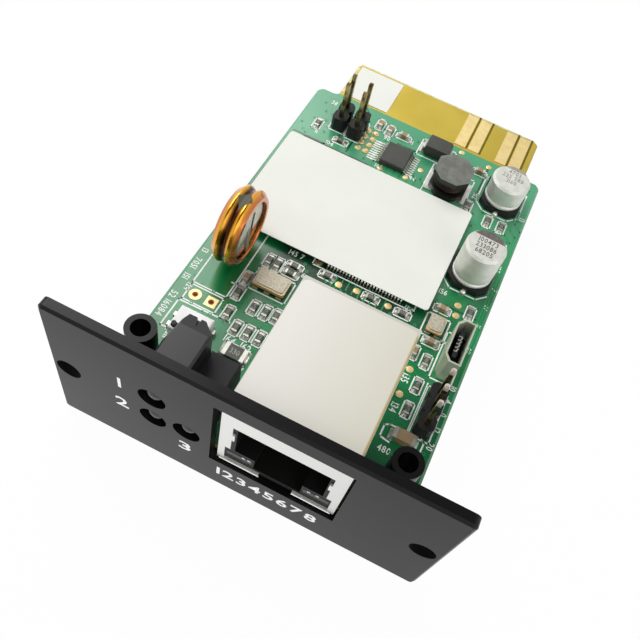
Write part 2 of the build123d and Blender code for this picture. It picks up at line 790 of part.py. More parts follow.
def switch_body():
    """White housing of the small slide switch."""
    x0 = SWITCH_X - SWITCH_W / 2
    y0 = SWITCH_Y - SWITCH_L / 2
    body = block(x0, x0 + SWITCH_W, y0, y0 + SWITCH_L, 0, SWITCH_H)
    body = chamfer(body.edges().group_by(Axis.Z)[-1], SWITCH_EDGE)
    return body - slider_slot()


def switch_slider():
    """Round black knob that stands out of the slot."""
    floor = SWITCH_H - SLIDER_DEPTH
    return upright(SLIDER_START_X, SLIDER_START_Y, floor + SLIDER_FLOOR_GAP, SWITCH_H + SLIDER_H, SLIDER_D)


def switch_terminals():
    """Two tinned legs at each end of the switch, which come out of its side and turn down to the board."""
    solids = []
    t = SWITCH_TERMINAL_T
    top = SWITCH_TERMINAL_Z
    for side in (-1, 1):
        edge = SWITCH_X + side * SWITCH_W / 2
        out = edge + side * SWITCH_TERMINAL_OUT
        inside = out - side * t
        outline = [(edge, top), (out, top), (out, 0), (inside, 0), (inside, top - t), (edge, top - t)]
        for step in row(2, SWITCH_TERMINAL_PITCH):
            solids.append(prism_xz(outline, SWITCH_Y + step - SWITCH_TERMINAL_W / 2, SWITCH_TERMINAL_W))
    return group(solids)


def on_stack_axis(face):
    """Turns a profile of X and radius round the stack's axis."""
    return Pos(STACK_X, STACK_Y, STACK_R_CENTRE_Z) * revolve(face, Axis.X)


def sleeve_profile():
    """Half section of the sleeve's outside: a ridge over each cell and a waist between them."""
    half = STACK_T / 2
    shoulder = SLEEVE_R - SLEEVE_SHOULDER_DROP
    right = [(0, SLEEVE_R - SLEEVE_WAIST), (SLEEVE_RIDGE_X, SLEEVE_R), (half, shoulder), (half, 0)]
    left = [(-x, r) for x, r in reversed(right[1:])]
    return make_face(Polyline(*left, *right, close=True))


def supercap_sleeve():
    """Shrunk amber sleeve: a thin skin over both cells with a round mouth at each face."""
    room = Pos(STACK_X, STACK_Y, STACK_R_CENTRE_Z) * Rot(0, 90, 0)
    room = room * Cylinder(sleeve_inner_r(), STACK_T - 2 * SLEEVE_WALL)
    skin = on_stack_axis(sleeve_profile()) - room
    mouth = Pos(STACK_X, STACK_Y, STACK_R_CENTRE_Z) * Rot(0, 90, 0) * Cylinder(SLEEVE_MOUTH_R, STACK_T)
    half = STACK_SLOT_W / 2
    slot = [
        block(x - STACK_LEAD_T, x + STACK_LEAD_T, y - half, y + half, 0, STACK_SLOT_TOP)
        for x, y in stack_lead_places()
    ]
    return skin - mouth - slot[0] - slot[1]


def sleeve_inner_r():
    return SLEEVE_R - SLEEVE_WAIST - SLEEVE_WALL


def supercap_cell(side):
    """A coin cell: a round can with a raised button on its outer face."""
    inner = CELL_SPACING / 2
    outer = STACK_T / 2 - SLEEVE_WALL - STACK_LEAD_T * 1.5 - CELL_BUTTON_T
    radius = sleeve_inner_r() - CELL_GAP
    profile = [
        (inner, 0), (inner, radius), (outer, radius),
        (outer, CELL_BUTTON_R), (outer + CELL_BUTTON_T, CELL_BUTTON_R), (outer + CELL_BUTTON_T, 0),
    ]
    return on_stack_axis(make_face(Polyline(*[(side * x, r) for x, r in profile], close=True)))


def supercap_leads():
    """Two flat leads from the outer faces of the cells down through the board."""
    solids = []
    for x, y in stack_lead_places():
        half_t = STACK_LEAD_T / 2
        solids.append(
            block(
                x - half_t, x + half_t,
                y - STACK_LEAD_W / 2, y + STACK_LEAD_W / 2,
                -BOARD_T - PIN_TAIL, STACK_R_CENTRE_Z,
            )
        )
    return group(solids)


def crystal_base(size, at):
    """Dark ceramic base of a crystal, drawn in a little under its can."""
    width, length, height = size
    body = block(
        at[0] - width / 2, at[0] + width / 2,
        at[1] - length / 2, at[1] + length / 2,
        0, height - CRYSTAL_LID * 2,
    )
    return chamfer(body.edges().filter_by(Axis.Z), CRYSTAL_RIM / 2)


def crystal_can(size, at):
    """Plated rim with the raised metal lid on it."""
    width, length, height = size
    rim = block(
        at[0] - width / 2, at[0] + width / 2, at[1] - length / 2, at[1] + length / 2,
        height - CRYSTAL_LID * 2, height - CRYSTAL_LID,
    )
    rim = chamfer(rim.edges().filter_by(Axis.Z), CRYSTAL_RIM)
    inset = CRYSTAL_RIM
    lid = block(
        at[0] - width / 2 + inset, at[0] + width / 2 - inset,
        at[1] - length / 2 + inset, at[1] + length / 2 - inset,
        height - CRYSTAL_LID, height,
    )
    return rim + chamfer(lid.edges().filter_by(Axis.Z), CRYSTAL_RIM)


def capacitor_can(height, at):
    """Aluminium can: a rolled foot, a pressed groove just above it and a bevelled top edge."""
    r = CAN_D / 2
    z0 = CAN_BASE_H
    groove = z0 + CAN_GROOVE_Z
    half = CAN_GROOVE_HALF_W
    return turned(at, [
        (0, z0), (r - CAN_FOOT_EDGE, z0), (r, z0 + CAN_FOOT_EDGE),
        (r, groove - half), (r - CAN_GROOVE_DEPTH, groove), (r, groove + half),
        (r, height - CAN_EDGE), (r - CAN_EDGE, height), (0, height),
    ])


def turned(at, profile):
    """A profile of radius and height turned about an upright axis."""
    face = make_face(Polyline(*[(r, 0, z) for r, z in profile], close=True))
    return Pos(*at, 0) * revolve(face, Axis.Z)


def capacitor_base(at):
    """Black base with two cut corners on its positive side and a notch for each terminal."""
    half = CAN_BASE_W / 2
    cut = CAN_BASE_CHAMFER
    points = [
        (-half, half), (half, half), (half, -half + cut),
        (half - cut, -half), (-half + cut, -half), (-half, -half + cut),
    ]
    base = prism([(at[0] + x, at[1] + y) for x, y in points], 0, CAN_BASE_H)
    for side in (-1, 1):
        y0 = at[1] + side * half
        slot_w = CAN_TERMINAL_W / 2 + CAN_TERMINAL_GAP
        inner = y0 - side * CAN_TERMINAL_IN
        base -= block(at[0] - slot_w, at[0] + slot_w, min(y0, inner), max(y0, inner), 0, CAN_TERMINAL_T)
    return base


def capacitor_terminals():
    """Flat terminals under both capacitors, at the front and the back of each base."""
    solids = []
    for at in (TALL_CAN_AT, SHORT_CAN_AT):
        for side in (-1, 1):
            edge = at[1] + side * CAN_BASE_W / 2
            inner = edge - side * CAN_TERMINAL_IN
            outer = edge + side * CAN_TERMINAL_OUT
            solids.append(
                block(
                    at[0] - CAN_TERMINAL_W / 2, at[0] + CAN_TERMINAL_W / 2,
                    min(inner, outer), max(inner, outer), 0, CAN_TERMINAL_T,
                )
            )
    return group(solids)


def inductor_core():
    """Ferrite drum with cut corners: two flanges on a round core."""
    x, y = COIL_AT
    foot = COIL_TERMINAL_T
    lower = chamfered_plate(x, y, COIL_W, COIL_L, COIL_CORNER, foot, foot + COIL_FLANGE)
    upper = chamfered_plate(x, y, COIL_W, COIL_L, COIL_CORNER, COIL_H - COIL_FLANGE, COIL_H)
    drum = upright(x, y, foot + COIL_FLANGE, COIL_H - COIL_FLANGE, COIL_DRUM_R * 2)
    return lower + drum + upper


def inductor_winding():
    """The wound wire, as one ring between the flanges."""
    z0 = COIL_TERMINAL_T + COIL_FLANGE
    z1 = COIL_H - COIL_FLANGE
    return turned(COIL_AT, [(COIL_DRUM_R, z0), (COIL_WINDING_R, z0), (COIL_WINDING_R, z1), (COIL_DRUM_R, z1)])


def inductor_terminals():
    """Two tinned plates under the core that turn up at its left and right sides."""
    x, y = COIL_AT
    solids = []
    for side in (-1, 1):
        edge = x + side * COIL_W / 2
        inner = edge - side * COIL_TERMINAL_IN
        outer = edge + side * COIL_TERMINAL_OUT
        solids.append(
            block(
                min(inner, outer), max(inner, outer),
                y - COIL_TERMINAL_W / 2, y + COIL_TERMINAL_W / 2,
                0, COIL_TERMINAL_T,
            )
        )
    return group(solids)


def diode_body():
    """Moulded body whose sides lean in above and below the lead frame."""
    x, y = DIODE_AT
    lift = DIODE_TERMINAL_T
    middle = lift + (DIODE_H - lift) / 2
    wide = Rectangle(DIODE_L, DIODE_W)
    slim = Rectangle(DIODE_L - 2 * DIODE_LEAN, DIODE_W - 2 * DIODE_LEAN)
    upper = loft([Pos(x, y, middle) * wide, Pos(x, y, DIODE_H) * slim])
    lower = loft([Pos(x, y, lift) * slim, Pos(x, y, middle) * wide])
    return upper + lower


def diode_terminals():
    """Leads that come out at half height and fold under the body."""
    x, y = DIODE_AT
    t = DIODE_TERMINAL_T
    middle = t + (DIODE_H - t) / 2
    solids = []
    for side in (-1, 1):
        edge = x + side * DIODE_L / 2
        out = edge + side * DIODE_TERMINAL_OUT
        under = edge - side * DIODE_TERMINAL_UNDER
        shape = prism_xz(
            [
                (edge, middle), (out, middle), (out, 0), (under, 0),
                (under, t), (out - side * t, t), (out - side * t, middle - t), (edge, middle - t),
            ],
            y - DIODE_TERMINAL_W / 2,
            DIODE_TERMINAL_W,
        )
        solids.append(shape)
    return group(solids)


def chip_body(at, width, length, thickness):
    """Moulded package with bevelled top edges."""
    body = block(
        at[0] - width / 2, at[0] + width / 2,
        at[1] - length / 2, at[1] + length / 2,
        STANDOFF, STANDOFF + thickness,
    )
    return chamfer(body.edges().group_by(Axis.Z)[-1], CHIP_EDGE)


def gull_lead(height, size):
    """One lead that leaves a package along +X, slopes down and ends in a flat foot on the board."""
    out, foot, width = size
    t = LEAD_T
    heel = out - foot
    points = [(0, height), (heel, t), (out, t), (out, 0), (heel - t, 0), (0, height - t)]
    return prism_xz(points, -width / 2, width)


def lead_row(at, half_size, angle, count, pitch, lead):
    """Copies of one lead along a side of a package; the angle picks the side."""
    centre = Pos(at[0], at[1], 0) * Rot(0, 0, angle)
    return [centre * Pos(half_size, step, 0) * lead for step in row(count, pitch)]


def processor_leads():
    lead = gull_lead(STANDOFF + PROCESSOR_T / 2, PROCESSOR_LEAD)
    solids = []
    for angle in (0, 90, 180, 270):
        solids += lead_row(PROCESSOR_AT, PROCESSOR_W / 2, angle, PROCESSOR_PINS, PROCESSOR_PITCH, lead)
    return group(solids)


def memory_leads():
    lead = gull_lead(STANDOFF + MEMORY_T / 2, MEMORY_LEAD)
    solids = []
    for angle in (90, 270):
        solids += lead_row(MEMORY_AT, MEMORY_L / 2, angle, MEMORY_PINS, MEMORY_PITCH, lead)
    return group(solids)


def interface_leads():
    lead = gull_lead(STANDOFF + INTERFACE_T / 2, INTERFACE_LEAD)
    solids = []
    for angle in (0, 180):
        solids += lead_row(INTERFACE_AT, INTERFACE_W / 2, angle, INTERFACE_PINS, INTERFACE_PITCH, lead)
    return group(solids)


def chip_label():
    """Blank sticker that lies on both large chips."""
    outline = fillet(Rectangle(STICKER_W, STICKER_L).vertices(), STICKER_CORNER_R)
    return Pos(*STICKER_AT, max(PROCESSOR_TOP, MEMORY_TOP)) * extrude(outline, LABEL_T)


def socket_outline(inset):
    """Mouth of the upright socket: a rectangle with the two corners of one long side cut."""
    half_w = SOCKET_W / 2 - inset
    half_l = SOCKET_L / 2 - inset
    cut = SOCKET_CORNER
    rise = SOCKET_CORNER_RISE
    points = [
        (half_w, -half_l), (half_w, half_l), (-half_w + cut, half_l),
        (-half_w, half_l - rise), (-half_w, -half_l + rise), (-half_w + cut, -half_l),
    ]
    return [(SOCKET_AT[0] + x, SOCKET_AT[1] + y) for x, y in points]


def usb_shell():
    """Bent sheet shell of the upright socket."""
    return prism(socket_outline(0), 0, SOCKET_H) - prism(socket_outline(SOCKET_WALL), 0, SOCKET_H)


def usb_insert():
    """Black floor and tongue inside the shell."""
    floor = prism(socket_outline(SOCKET_WALL), 0, SOCKET_H - SOCKET_DEPTH)
    x, y = SOCKET_AT
    tongue = block(
        x - TONGUE_W / 2, x + TONGUE_W / 2,
        y - TONGUE_L / 2, y + TONGUE_L / 2,
        SOCKET_H - SOCKET_DEPTH, SOCKET_H - TONGUE_SETBACK,
    )
    return floor + tongue


def header_body(at, count):
    """Header moulding: one block with cut corners for each pin, joined in a row."""
    body = None
    for x, y in header_pins(at, count):
        cell = chamfered_plate(x, y, HEADER_W, PIN_PITCH, HEADER_CORNER, 0, HEADER_H)
        cell -= block(x - PIN_W / 2, x + PIN_W / 2, y - PIN_W / 2, y + PIN_W / 2, 0, HEADER_H)
        body = cell if body is None else body + cell
    return body


def square_pins(places, tip_z):
    """Square pins with pointed tips, through the board."""
    solids = []
    for x, y in places:
        half = PIN_W / 2
        pin = block(x - half, x + half, y - half, y + half, -BOARD_T - PIN_TAIL, tip_z)
        solids.append(chamfer(pin.edges().group_by(Axis.Z)[-1], PIN_W / 4))
    return solids


def jumper_pins():
    places = header_pins(JUMPER_LEFT_AT, JUMPER_PINS) + header_pins(JUMPER_RIGHT_AT, JUMPER_PINS)
    return group(square_pins(places, JUMPER_TIP_Z))


def flat_part_body(size, at, across):
    """Middle of a flat soldered part, between its end caps."""
    length, width, height, cap = size
    half_l = length / 2 - cap
    half_w = width / 2
    dx, dy = (half_l, half_w) if across else (half_w, half_l)
    return block(at[0] - dx, at[0] + dx, at[1] - dy, at[1] + dy, 0, height)


def flat_part_ends(size, at, across):
    """The two tinned end caps of a flat soldered part."""
    length, width, height, cap = size
    solids = []
    for side in (-1, 1):
        centre = side * (length - cap) / 2
        dx, dy = (cap / 2, width / 2) if across else (width / 2, cap / 2)
        x = at[0] + (centre if across else 0)
        y = at[1] + (0 if across else centre)
        solids.append(block(x - dx, x + dx, y - dy, y + dy, 0, height))
    return solids


def small_parts(size, along, across, make):
    """Every small part of one kind, made by the given function."""
    made = []
    for at in along:
        made.append(make(size, at, False))
    for at in across:
        made.append(make(size, at, True))
    return made


def flat(lists):
    return [solid for part in lists for solid in part]


def card():
    """Every node of the card by name, in the drawing's frame."""
    leds = {name: led(x, z) for name, (x, z, bend_y) in led_places().items()}
    resistors = (SMALL_CHIP, RESISTORS_ALONG, RESISTORS_ACROSS)
    large_resistor = (LARGE_RESISTOR, LARGE_RESISTOR_AT, True)
    capacitors = (SMALL_CAPACITOR, CAPACITORS_ALONG, CAPACITORS_ACROSS)
    return {
        "faceplate": faceplate(),
        "circuit_board": circuit_board(),
        "edge_fingers": edge_fingers(),
        "board_pads": board_pads(),
        "tab_label": tab_label(),
        "faceplate_screws": faceplate_screws(),
        "rj45_shield": rj45_shield(),
        "rj45_housing": rj45_housing(),
        "rj45_contacts": rj45_contacts(),
        "rj45_indicators": group([rj45_indicator(-1), rj45_indicator(1)]),
        "rj45_label": rj45_label(),
        "led_holder": led_holder(),
        **leds,
        "led_leads": led_leads(),
        "switch_body": switch_body(),
        "switch_slider": switch_slider(),
        "switch_terminals": switch_terminals(),
        "supercap_sleeve": supercap_sleeve(),
        "supercap_cell_left": supercap_cell(-1),
        "supercap_cell_right": supercap_cell(1),
        "supercap_leads": supercap_leads(),
        "large_crystal_base": crystal_base(LARGE_CRYSTAL, LARGE_CRYSTAL_AT),
        "large_crystal_can": crystal_can(LARGE_CRYSTAL, LARGE_CRYSTAL_AT),
        "small_crystal_base": crystal_base(SMALL_CRYSTAL, SMALL_CRYSTAL_AT),
        "small_crystal_can": crystal_can(SMALL_CRYSTAL, SMALL_CRYSTAL_AT),
        "tall_capacitor_can": capacitor_can(TALL_CAN_H, TALL_CAN_AT),
        "tall_capacitor_base": capacitor_base(TALL_CAN_AT),
        "short_capacitor_can": capacitor_can(SHORT_CAN_H, SHORT_CAN_AT),
        "short_capacitor_base": capacitor_base(SHORT_CAN_AT),
        "capacitor_terminals": capacitor_terminals(),
        "inductor_core": inductor_core(),
        "inductor_winding": inductor_winding(),
        "inductor_terminals": inductor_terminals(),
        "diode_body": diode_body(),
        "diode_terminals": diode_terminals(),
        "processor_chip": chip_body(PROCESSOR_AT, PROCESSOR_W, PROCESSOR_W, PROCESSOR_T),
        "processor_leads": processor_leads(),
        "memory_chip": chip_body(MEMORY_AT, MEMORY_W, MEMORY_L, MEMORY_T),
        "memory_leads": memory_leads(),
        "interface_chip": chip_body(INTERFACE_AT, INTERFACE_W, INTERFACE_L, INTERFACE_T),
        "interface_leads": interface_leads(),
        "transceiver_chip": chip_body(TRANSCEIVER_AT, TRANSCEIVER_W, TRANSCEIVER_W, TRANSCEIVER_T),
        "chip_label": chip_label(),
        "usb_shell": usb_shell(),
        "usb_insert": usb_insert(),
        "serial_header_body": header_body(SERIAL_AT, SERIAL_PINS),
        "serial_header_pins": group(square_pins(header_pins(SERIAL_AT, SERIAL_PINS), SERIAL_TIP_Z)),
        "jumper_header_left": header_body(JUMPER_LEFT_AT, JUMPER_PINS),
        "jumper_header_right": header_body(JUMPER_RIGHT_AT, JUMPER_PINS),
        "jumper_header_pins": jumper_pins(),
        "ceramic_capacitor_body": flat_part_body(CERAMIC_CAPACITOR, CERAMIC_CAPACITOR_AT, True),
        "ceramic_capacitor_ends": group(flat_part_ends(CERAMIC_CAPACITOR, CERAMIC_CAPACITOR_AT, True)),
        "chip_resistors": group([*small_parts(*resistors, flat_part_body), flat_part_body(*large_resistor)]),
        "chip_resistor_ends": group([
            *flat(small_parts(*resistors, flat_part_ends)),
            *flat_part_ends(*large_resistor),
        ]),
        "chip_capacitors": group(small_parts(*capacitors, flat_part_body)),
        "chip_capacitor_ends": group(flat(small_parts(*capacitors, flat_part_ends))),
    }


def set_down(shape):
    """Moves each solid of a node from the drawing's frame to the card's own."""
    solids = [Pos(*ORIGIN_SHIFT) * solid for solid in shape.solids()]
    return solids[0] if len(solids) == 1 else group(solids)


os.makedirs("parts", exist_ok=True)
for node, shape in card().items():
    export_step(set_down(shape), f"parts/{node}.step")
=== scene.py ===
# %% [markdown]
# A plug-in network card, dressed for its picture
#
# The solid model already holds every part of the card at its real size and place. This lesson
# loads it as a fixed frame, gives each part a finish, and adds what is too fine for the solid
# model: printed lines and numbers, solder, copper traces under the green mask, holes plated
# through the board, the smooth shrunk sleeve of the standby cell and the wound wire of the coil.

# %% Load the fixed frame
import json
import math

import bpy
import numpy as np
from mathutils import Matrix, Vector


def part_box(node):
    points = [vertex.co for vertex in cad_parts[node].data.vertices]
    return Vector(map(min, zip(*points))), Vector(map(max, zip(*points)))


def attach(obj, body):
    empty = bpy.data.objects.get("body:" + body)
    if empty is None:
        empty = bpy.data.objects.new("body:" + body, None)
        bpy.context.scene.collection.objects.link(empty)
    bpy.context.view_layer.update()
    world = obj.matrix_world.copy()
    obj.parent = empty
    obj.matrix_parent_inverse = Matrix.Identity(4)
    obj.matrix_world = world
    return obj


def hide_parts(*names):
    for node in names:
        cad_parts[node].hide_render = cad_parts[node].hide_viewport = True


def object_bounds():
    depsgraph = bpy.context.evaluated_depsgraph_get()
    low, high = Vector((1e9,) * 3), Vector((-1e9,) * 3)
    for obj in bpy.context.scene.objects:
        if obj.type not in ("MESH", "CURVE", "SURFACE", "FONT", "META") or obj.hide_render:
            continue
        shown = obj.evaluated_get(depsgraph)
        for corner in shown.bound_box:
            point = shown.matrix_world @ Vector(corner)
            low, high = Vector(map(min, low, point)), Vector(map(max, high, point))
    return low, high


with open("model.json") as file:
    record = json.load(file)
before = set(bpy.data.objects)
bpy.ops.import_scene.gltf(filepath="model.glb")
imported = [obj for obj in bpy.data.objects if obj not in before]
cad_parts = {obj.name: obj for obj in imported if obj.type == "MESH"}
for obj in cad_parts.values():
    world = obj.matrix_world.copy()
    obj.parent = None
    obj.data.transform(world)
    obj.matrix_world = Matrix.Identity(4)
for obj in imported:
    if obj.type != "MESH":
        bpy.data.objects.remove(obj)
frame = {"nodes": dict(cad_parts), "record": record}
nodes = frame["nodes"]
cad_low, cad_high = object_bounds()
print(len(nodes), "parts in the frame, from", tuple(cad_low), "to", tuple(cad_high))

# %% [markdown]
# Everything below is written in millimetres of the card's own drawing: X from the middle of the
# faceplate, Y back from its front face and Z up from the top of the board. The frame is in
# metres and has another origin, so one small function turns the first into the second, and
# another reads a part's box back in drawing millimetres.

# %% The card's drawing frame
MM = 0.001
FRAME_ORIGIN = np.array([0.0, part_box("faceplate")[0].y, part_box("circuit_board")[1].z])


def metres(points):
    """Drawing millimetres to frame metres: scale, then add the drawing's origin."""
    return np.asarray(points, float) * MM + FRAME_ORIGIN


def drawn_box(node):
    """Lowest and highest corner of a part, in drawing millimetres."""
    low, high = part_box(node)
    return (np.array(low) - FRAME_ORIGIN) / MM, (np.array(high) - FRAME_ORIGIN) / MM


def box_middle(node):
    """The middle of a part seen from above: X and Y in drawing millimetres."""
    low, high = drawn_box(node)
    return (low + high)[:2] / 2


def placed(name, data):
    """A new object in the scene, at the frame's origin."""
    made = bpy.data.objects.new(name, data)
    bpy.context.scene.collection.objects.link(made)
    return made


board_low, board_high = drawn_box("circuit_board")
print("board", (board_high - board_low).round(2), "mm")

# %% [markdown]
# Some nodes hold many small bodies, such as all the end caps of the chip resistors. Solder and
# printed outlines need the box of each one. The mesh is loose triangles, so corners that share
# a place are merged first, and then the lowest label spreads through each triangle until every
# body carries one label of its own.

# %% Find the separate bodies of a node


def bodies_of(node):
    """Box of each connected body: labels spread over shared corners until none changes."""
    mesh = nodes[node].data
    corners = np.zeros(len(mesh.vertices) * 3)
    mesh.vertices.foreach_get("co", corners)
    corners = (corners.reshape(-1, 3) - FRAME_ORIGIN) / MM
    places, spot = np.unique(corners.round(4), axis=0, return_inverse=True)
    mesh.calc_loop_triangles()
    triangles = np.zeros(len(mesh.loop_triangles) * 3, int)
    mesh.loop_triangles.foreach_get("vertices", triangles)
    triangles = spot.reshape(-1)[triangles].reshape(-1, 3)
    label = np.arange(len(places))
    changing = True
    while changing:
        lowest = label[triangles].min(axis=1)
        spread = label.copy()
        np.minimum.at(spread, triangles.ravel(), np.repeat(lowest, 3))
        spread = spread[spread]
        changing = not np.array_equal(spread, label)
        label = spread
    found = [places[label == one] for one in np.unique(label)]
    return np.array([(body.min(axis=0), body.max(axis=0)) for body in found])


resistor_bodies = bodies_of("chip_resistors")
capacitor_bodies = bodies_of("chip_capacitors")
print(len(resistor_bodies), "chip resistors and", len(capacitor_bodies), "chip capacitors")

# %% [markdown]
# A finish is a small node tree. Arithmetic on its numbers reads best as plain Python, so one
# class wraps a socket and gives it the usual signs. A second class holds a tree and adds nodes
# to it: settings first, because they decide which sockets exist, and then values or links.

# %% Arithmetic on sockets


class Wire:
    """A number in a node tree. Each sign adds one Math node."""

    def __init__(self, tree, socket):
        self.tree = tree
        self.socket = socket

    def math(self, operation, *terms):
        node = self.tree.nodes.new("ShaderNodeMath")
        node.operation = operation
        for place, term in zip(node.inputs, terms):
            plug(self.tree, place, term)
        return Wire(self.tree, node.outputs[0])

    def __add__(self, other):
        return self.math("ADD", self, other)

    def __sub__(self, other):
        return self.math("SUBTRACT", self, other)

    def __rsub__(self, other):
        return self.math("SUBTRACT", other, self)

    def __mul__(self, other):
        return self.math("MULTIPLY", self, other)

    def __truediv__(self, other):
        return self.math("DIVIDE", self, other)

    __radd__ = __add__
    __rmul__ = __mul__

    def above(self, level, soft=0.0):
        """0 below the level and 1 above it, with a soft step of the given width."""
        if soft == 0.0:
            return self.math("GREATER_THAN", self, level)
        return ((self - level) / soft + 0.5).clamped()

    def clamped(self, least=0.0, most=1.0):
        return self.math("MINIMUM", self.math("MAXIMUM", self, least), most)

    def size(self):
        return self.math("ABSOLUTE", self)


def plug(tree, place, term):
    """Links a wire to a socket, or writes a plain value on it."""
    if isinstance(term, Wire):
        tree.links.new(term.socket, place)
    else:
        place.default_value = term


# %% A node tree under construction


class Shading:
    """The node tree of a material or of the sky."""

    def __init__(self, owner):
        owner.use_nodes = True
        self.tree = owner.node_tree

    def node(self, kind, inputs=None, output=0, **settings):
        """Adds a node: settings first, then the values or links of its sockets."""
        made = self.tree.nodes.new(kind)
        for setting, value in settings.items():
            setattr(made, setting, value)
        for socket, term in (inputs or {}).items():
            plug(self.tree, made.inputs[socket], term)
        return Wire(self.tree, made.outputs[output]) if made.outputs else None

    def part(self, vector, number):
        """The first, second or third part of a vector, counted from 0."""
        return self.node("ShaderNodeSeparateXYZ", {0: vector}, output=number)

    def seen_by(self, ray):
        """1 for one kind of ray, such as the camera's, and 0 for all others."""
        return self.node("ShaderNodeLightPath", output=f"Is {ray} Ray")


# %% [markdown]
# A material starts from a colour and a roughness and is kept under its name. Its places are in
# drawing millimetres, so that a tone can follow the part's own measures, and its noise is too.

# %% A material under construction
FINISHES = {}


def tone(red, green, blue):
    """A colour given as 0 to 255 on a screen, turned into the linear light that a shader uses."""
    share = np.array([red, green, blue]) / 255
    linear = np.where(share <= 0.04045, share / 12.92, ((share + 0.055) / 1.055) ** 2.4)
    return (*(float(part) for part in linear), 1.0)


class Finish(Shading):
    """One material: its shader, and the patterns that change it over a part."""

    def __init__(self, name, colour, roughness, more=None):
        FINISHES[name] = bpy.data.materials.new(name)
        super().__init__(FINISHES[name])
        self.shader = self.tree.nodes["Principled BSDF"]
        for socket, term in {"Base Color": colour, "Roughness": roughness, **(more or {})}.items():
            self.set(socket, term)

    def set(self, socket, term):
        plug(self.tree, self.shader.inputs[socket], term)

    def place(self):
        """The point on the piece, in metres of the frame: every object sits at the origin."""
        return self.node("ShaderNodeTexCoord", output="Object")

    def axis(self, letter):
        """The point's place along one axis, in drawing millimetres."""
        number = "XYZ".index(letter)
        return (self.part(self.place(), number) - float(FRAME_ORIGIN[number])) / MM

    def facing_up(self):
        """How far the surface faces up: 1 on a roof, 0 on a wall and -1 underneath."""
        return self.part(self.node("ShaderNodeTexCoord", output="Normal"), 2)

    def noise(self, size, detail=2.0, stretch=(1, 1, 1)):
        """Cloudy noise round 0.5, mostly from 0.3 to 0.7; its features have the given size."""
        scaled = self.node("ShaderNodeMapping", {0: self.place(), "Scale": stretch})
        inputs = {"Vector": scaled, "Scale": 1 / (size * MM), "Detail": detail}
        return self.node("ShaderNodeTexNoise", inputs)

    def mix(self, share, first, second):
        """A blend of two colours: the first where the share is 0, the second where it is 1."""
        inputs = {0: share, 6: first, 7: second}
        return self.node("ShaderNodeMix", inputs, output=2, data_type="RGBA")

    def mottle(self, colour, other, size=1.5, detail=3.0):
        """Uneven tone: the colour drifts towards another in soft patches."""
        patches = self.noise(size, detail).above(0.5, 0.3)
        self.set("Base Color", self.mix(patches, colour, other))

    def uneven_gloss(self, roughness, change):
        self.set("Roughness", roughness + change * (self.noise(0.8, 3.0) - 0.5))

    def grain(self, height, size, stretch=(1, 1, 1), detail=2.0):
        """Fine relief of the surface: noise as a height in millimetres."""
        inputs = {"Height": self.noise(size, detail, stretch), "Distance": height * MM}
        self.set("Normal", self.node("ShaderNodeBump", inputs))


# %% [markdown]
# The moulded plastics differ less in colour than in their skin. The faceplate is smooth and has
# a slight sheen that picks up the pale table, the connector blocks are a flatter black, and the
# light holder is a tough glossy moulding. Each gets fine grain and an uneven gloss.

# %% Moulded plastics
PLATE_TONE = tone(14, 14, 15)
PLATE_ROUGHNESS = 0.34


def moulded(name, colour, roughness, grain=0.004, grain_size=0.12, specular=0.5):
    finish = Finish(name, colour, roughness, {"Specular IOR Level": specular})
    lighter = (*(min(1.0, part * 1.25 + 0.001) for part in colour[:3]), 1.0)
    finish.mottle(colour, lighter, size=2.5)
    finish.uneven_gloss(roughness, 0.08)
    finish.grain(grain, grain_size)
    return finish


plate = moulded("faceplate_black", PLATE_TONE, PLATE_ROUGHNESS, 0.001, 0.3, 0.24)
holder = moulded("holder_black", tone(24, 24, 26), 0.36, 0.003)
ferrite = moulded("ferrite", tone(62, 63, 58), 0.44, 0.012, 0.15)
moulded("switch_white", tone(246, 241, 242), 0.4)
moulded("connector_black", tone(11, 11, 11), 0.5, 0.002, specular=0.4)
moulded("ceramic_black", tone(30, 29, 28), 0.55)
moulded("package_black", tone(58, 58, 52), 0.46, 0.004, 0.08)
moulded("resistor_black", tone(74, 74, 66), 0.4)
moulded("capacitor_brown", tone(152, 127, 96), 0.4)
moulded("lens_grey", tone(46, 47, 49), 0.1, 0.0005)
moulded("clear_light", tone(30, 31, 31), 0.14, 0.0005)

# %% [markdown]
# The first three are not one tone. The walls of the faceplate's screw holes are rough from the
# mould and painted almost black, as painted shade inside the holes. The light holder is painted
# dark in its deep lower half and on its right block, which stands in the plate's shade: painted
# shade. The coil's core has dusty patches on its flat top, which is painted a lighter grey for the
# glare it catches, and it is painted almost black below, as painted shade.

# %% Tones that change over a plastic part
HOLE_X = 23.6
HOLE_Z = 4.4
HOLE_R = 1.68
HOLDER_BRIGHT_FROM_Z = 6.8
HOLDER_BLOCK_X = -9.2
CORE_TOP_Z = 3.0

from_hole_x = plate.axis("X").size() - HOLE_X
from_hole_z = plate.axis("Z") - HOLE_Z
in_hole = 1.0 - (from_hole_x * from_hole_x + from_hole_z * from_hole_z).above(HOLE_R * HOLE_R)
plate.set("Roughness", PLATE_ROUGHNESS + (1.0 - PLATE_ROUGHNESS) * in_hole)
# Painted shade: the hole walls are painted almost black.
plate.set("Base Color", plate.mix(in_hole, PLATE_TONE, tone(3, 3, 3)))

# Painted shade: darker low down and on the block right of HOLDER_BLOCK_X.
left_of_block = 1.0 - 0.85 * holder.axis("X").above(HOLDER_BLOCK_X, 0.6)
holder_painted_light = holder.axis("Z").above(HOLDER_BRIGHT_FROM_Z, 3.0) * left_of_block
holder.set("Base Color", holder.mix(holder_painted_light, tone(6, 6, 7), tone(26, 26, 28)))
holder.set("Roughness", 0.62 - 0.26 * holder_painted_light)

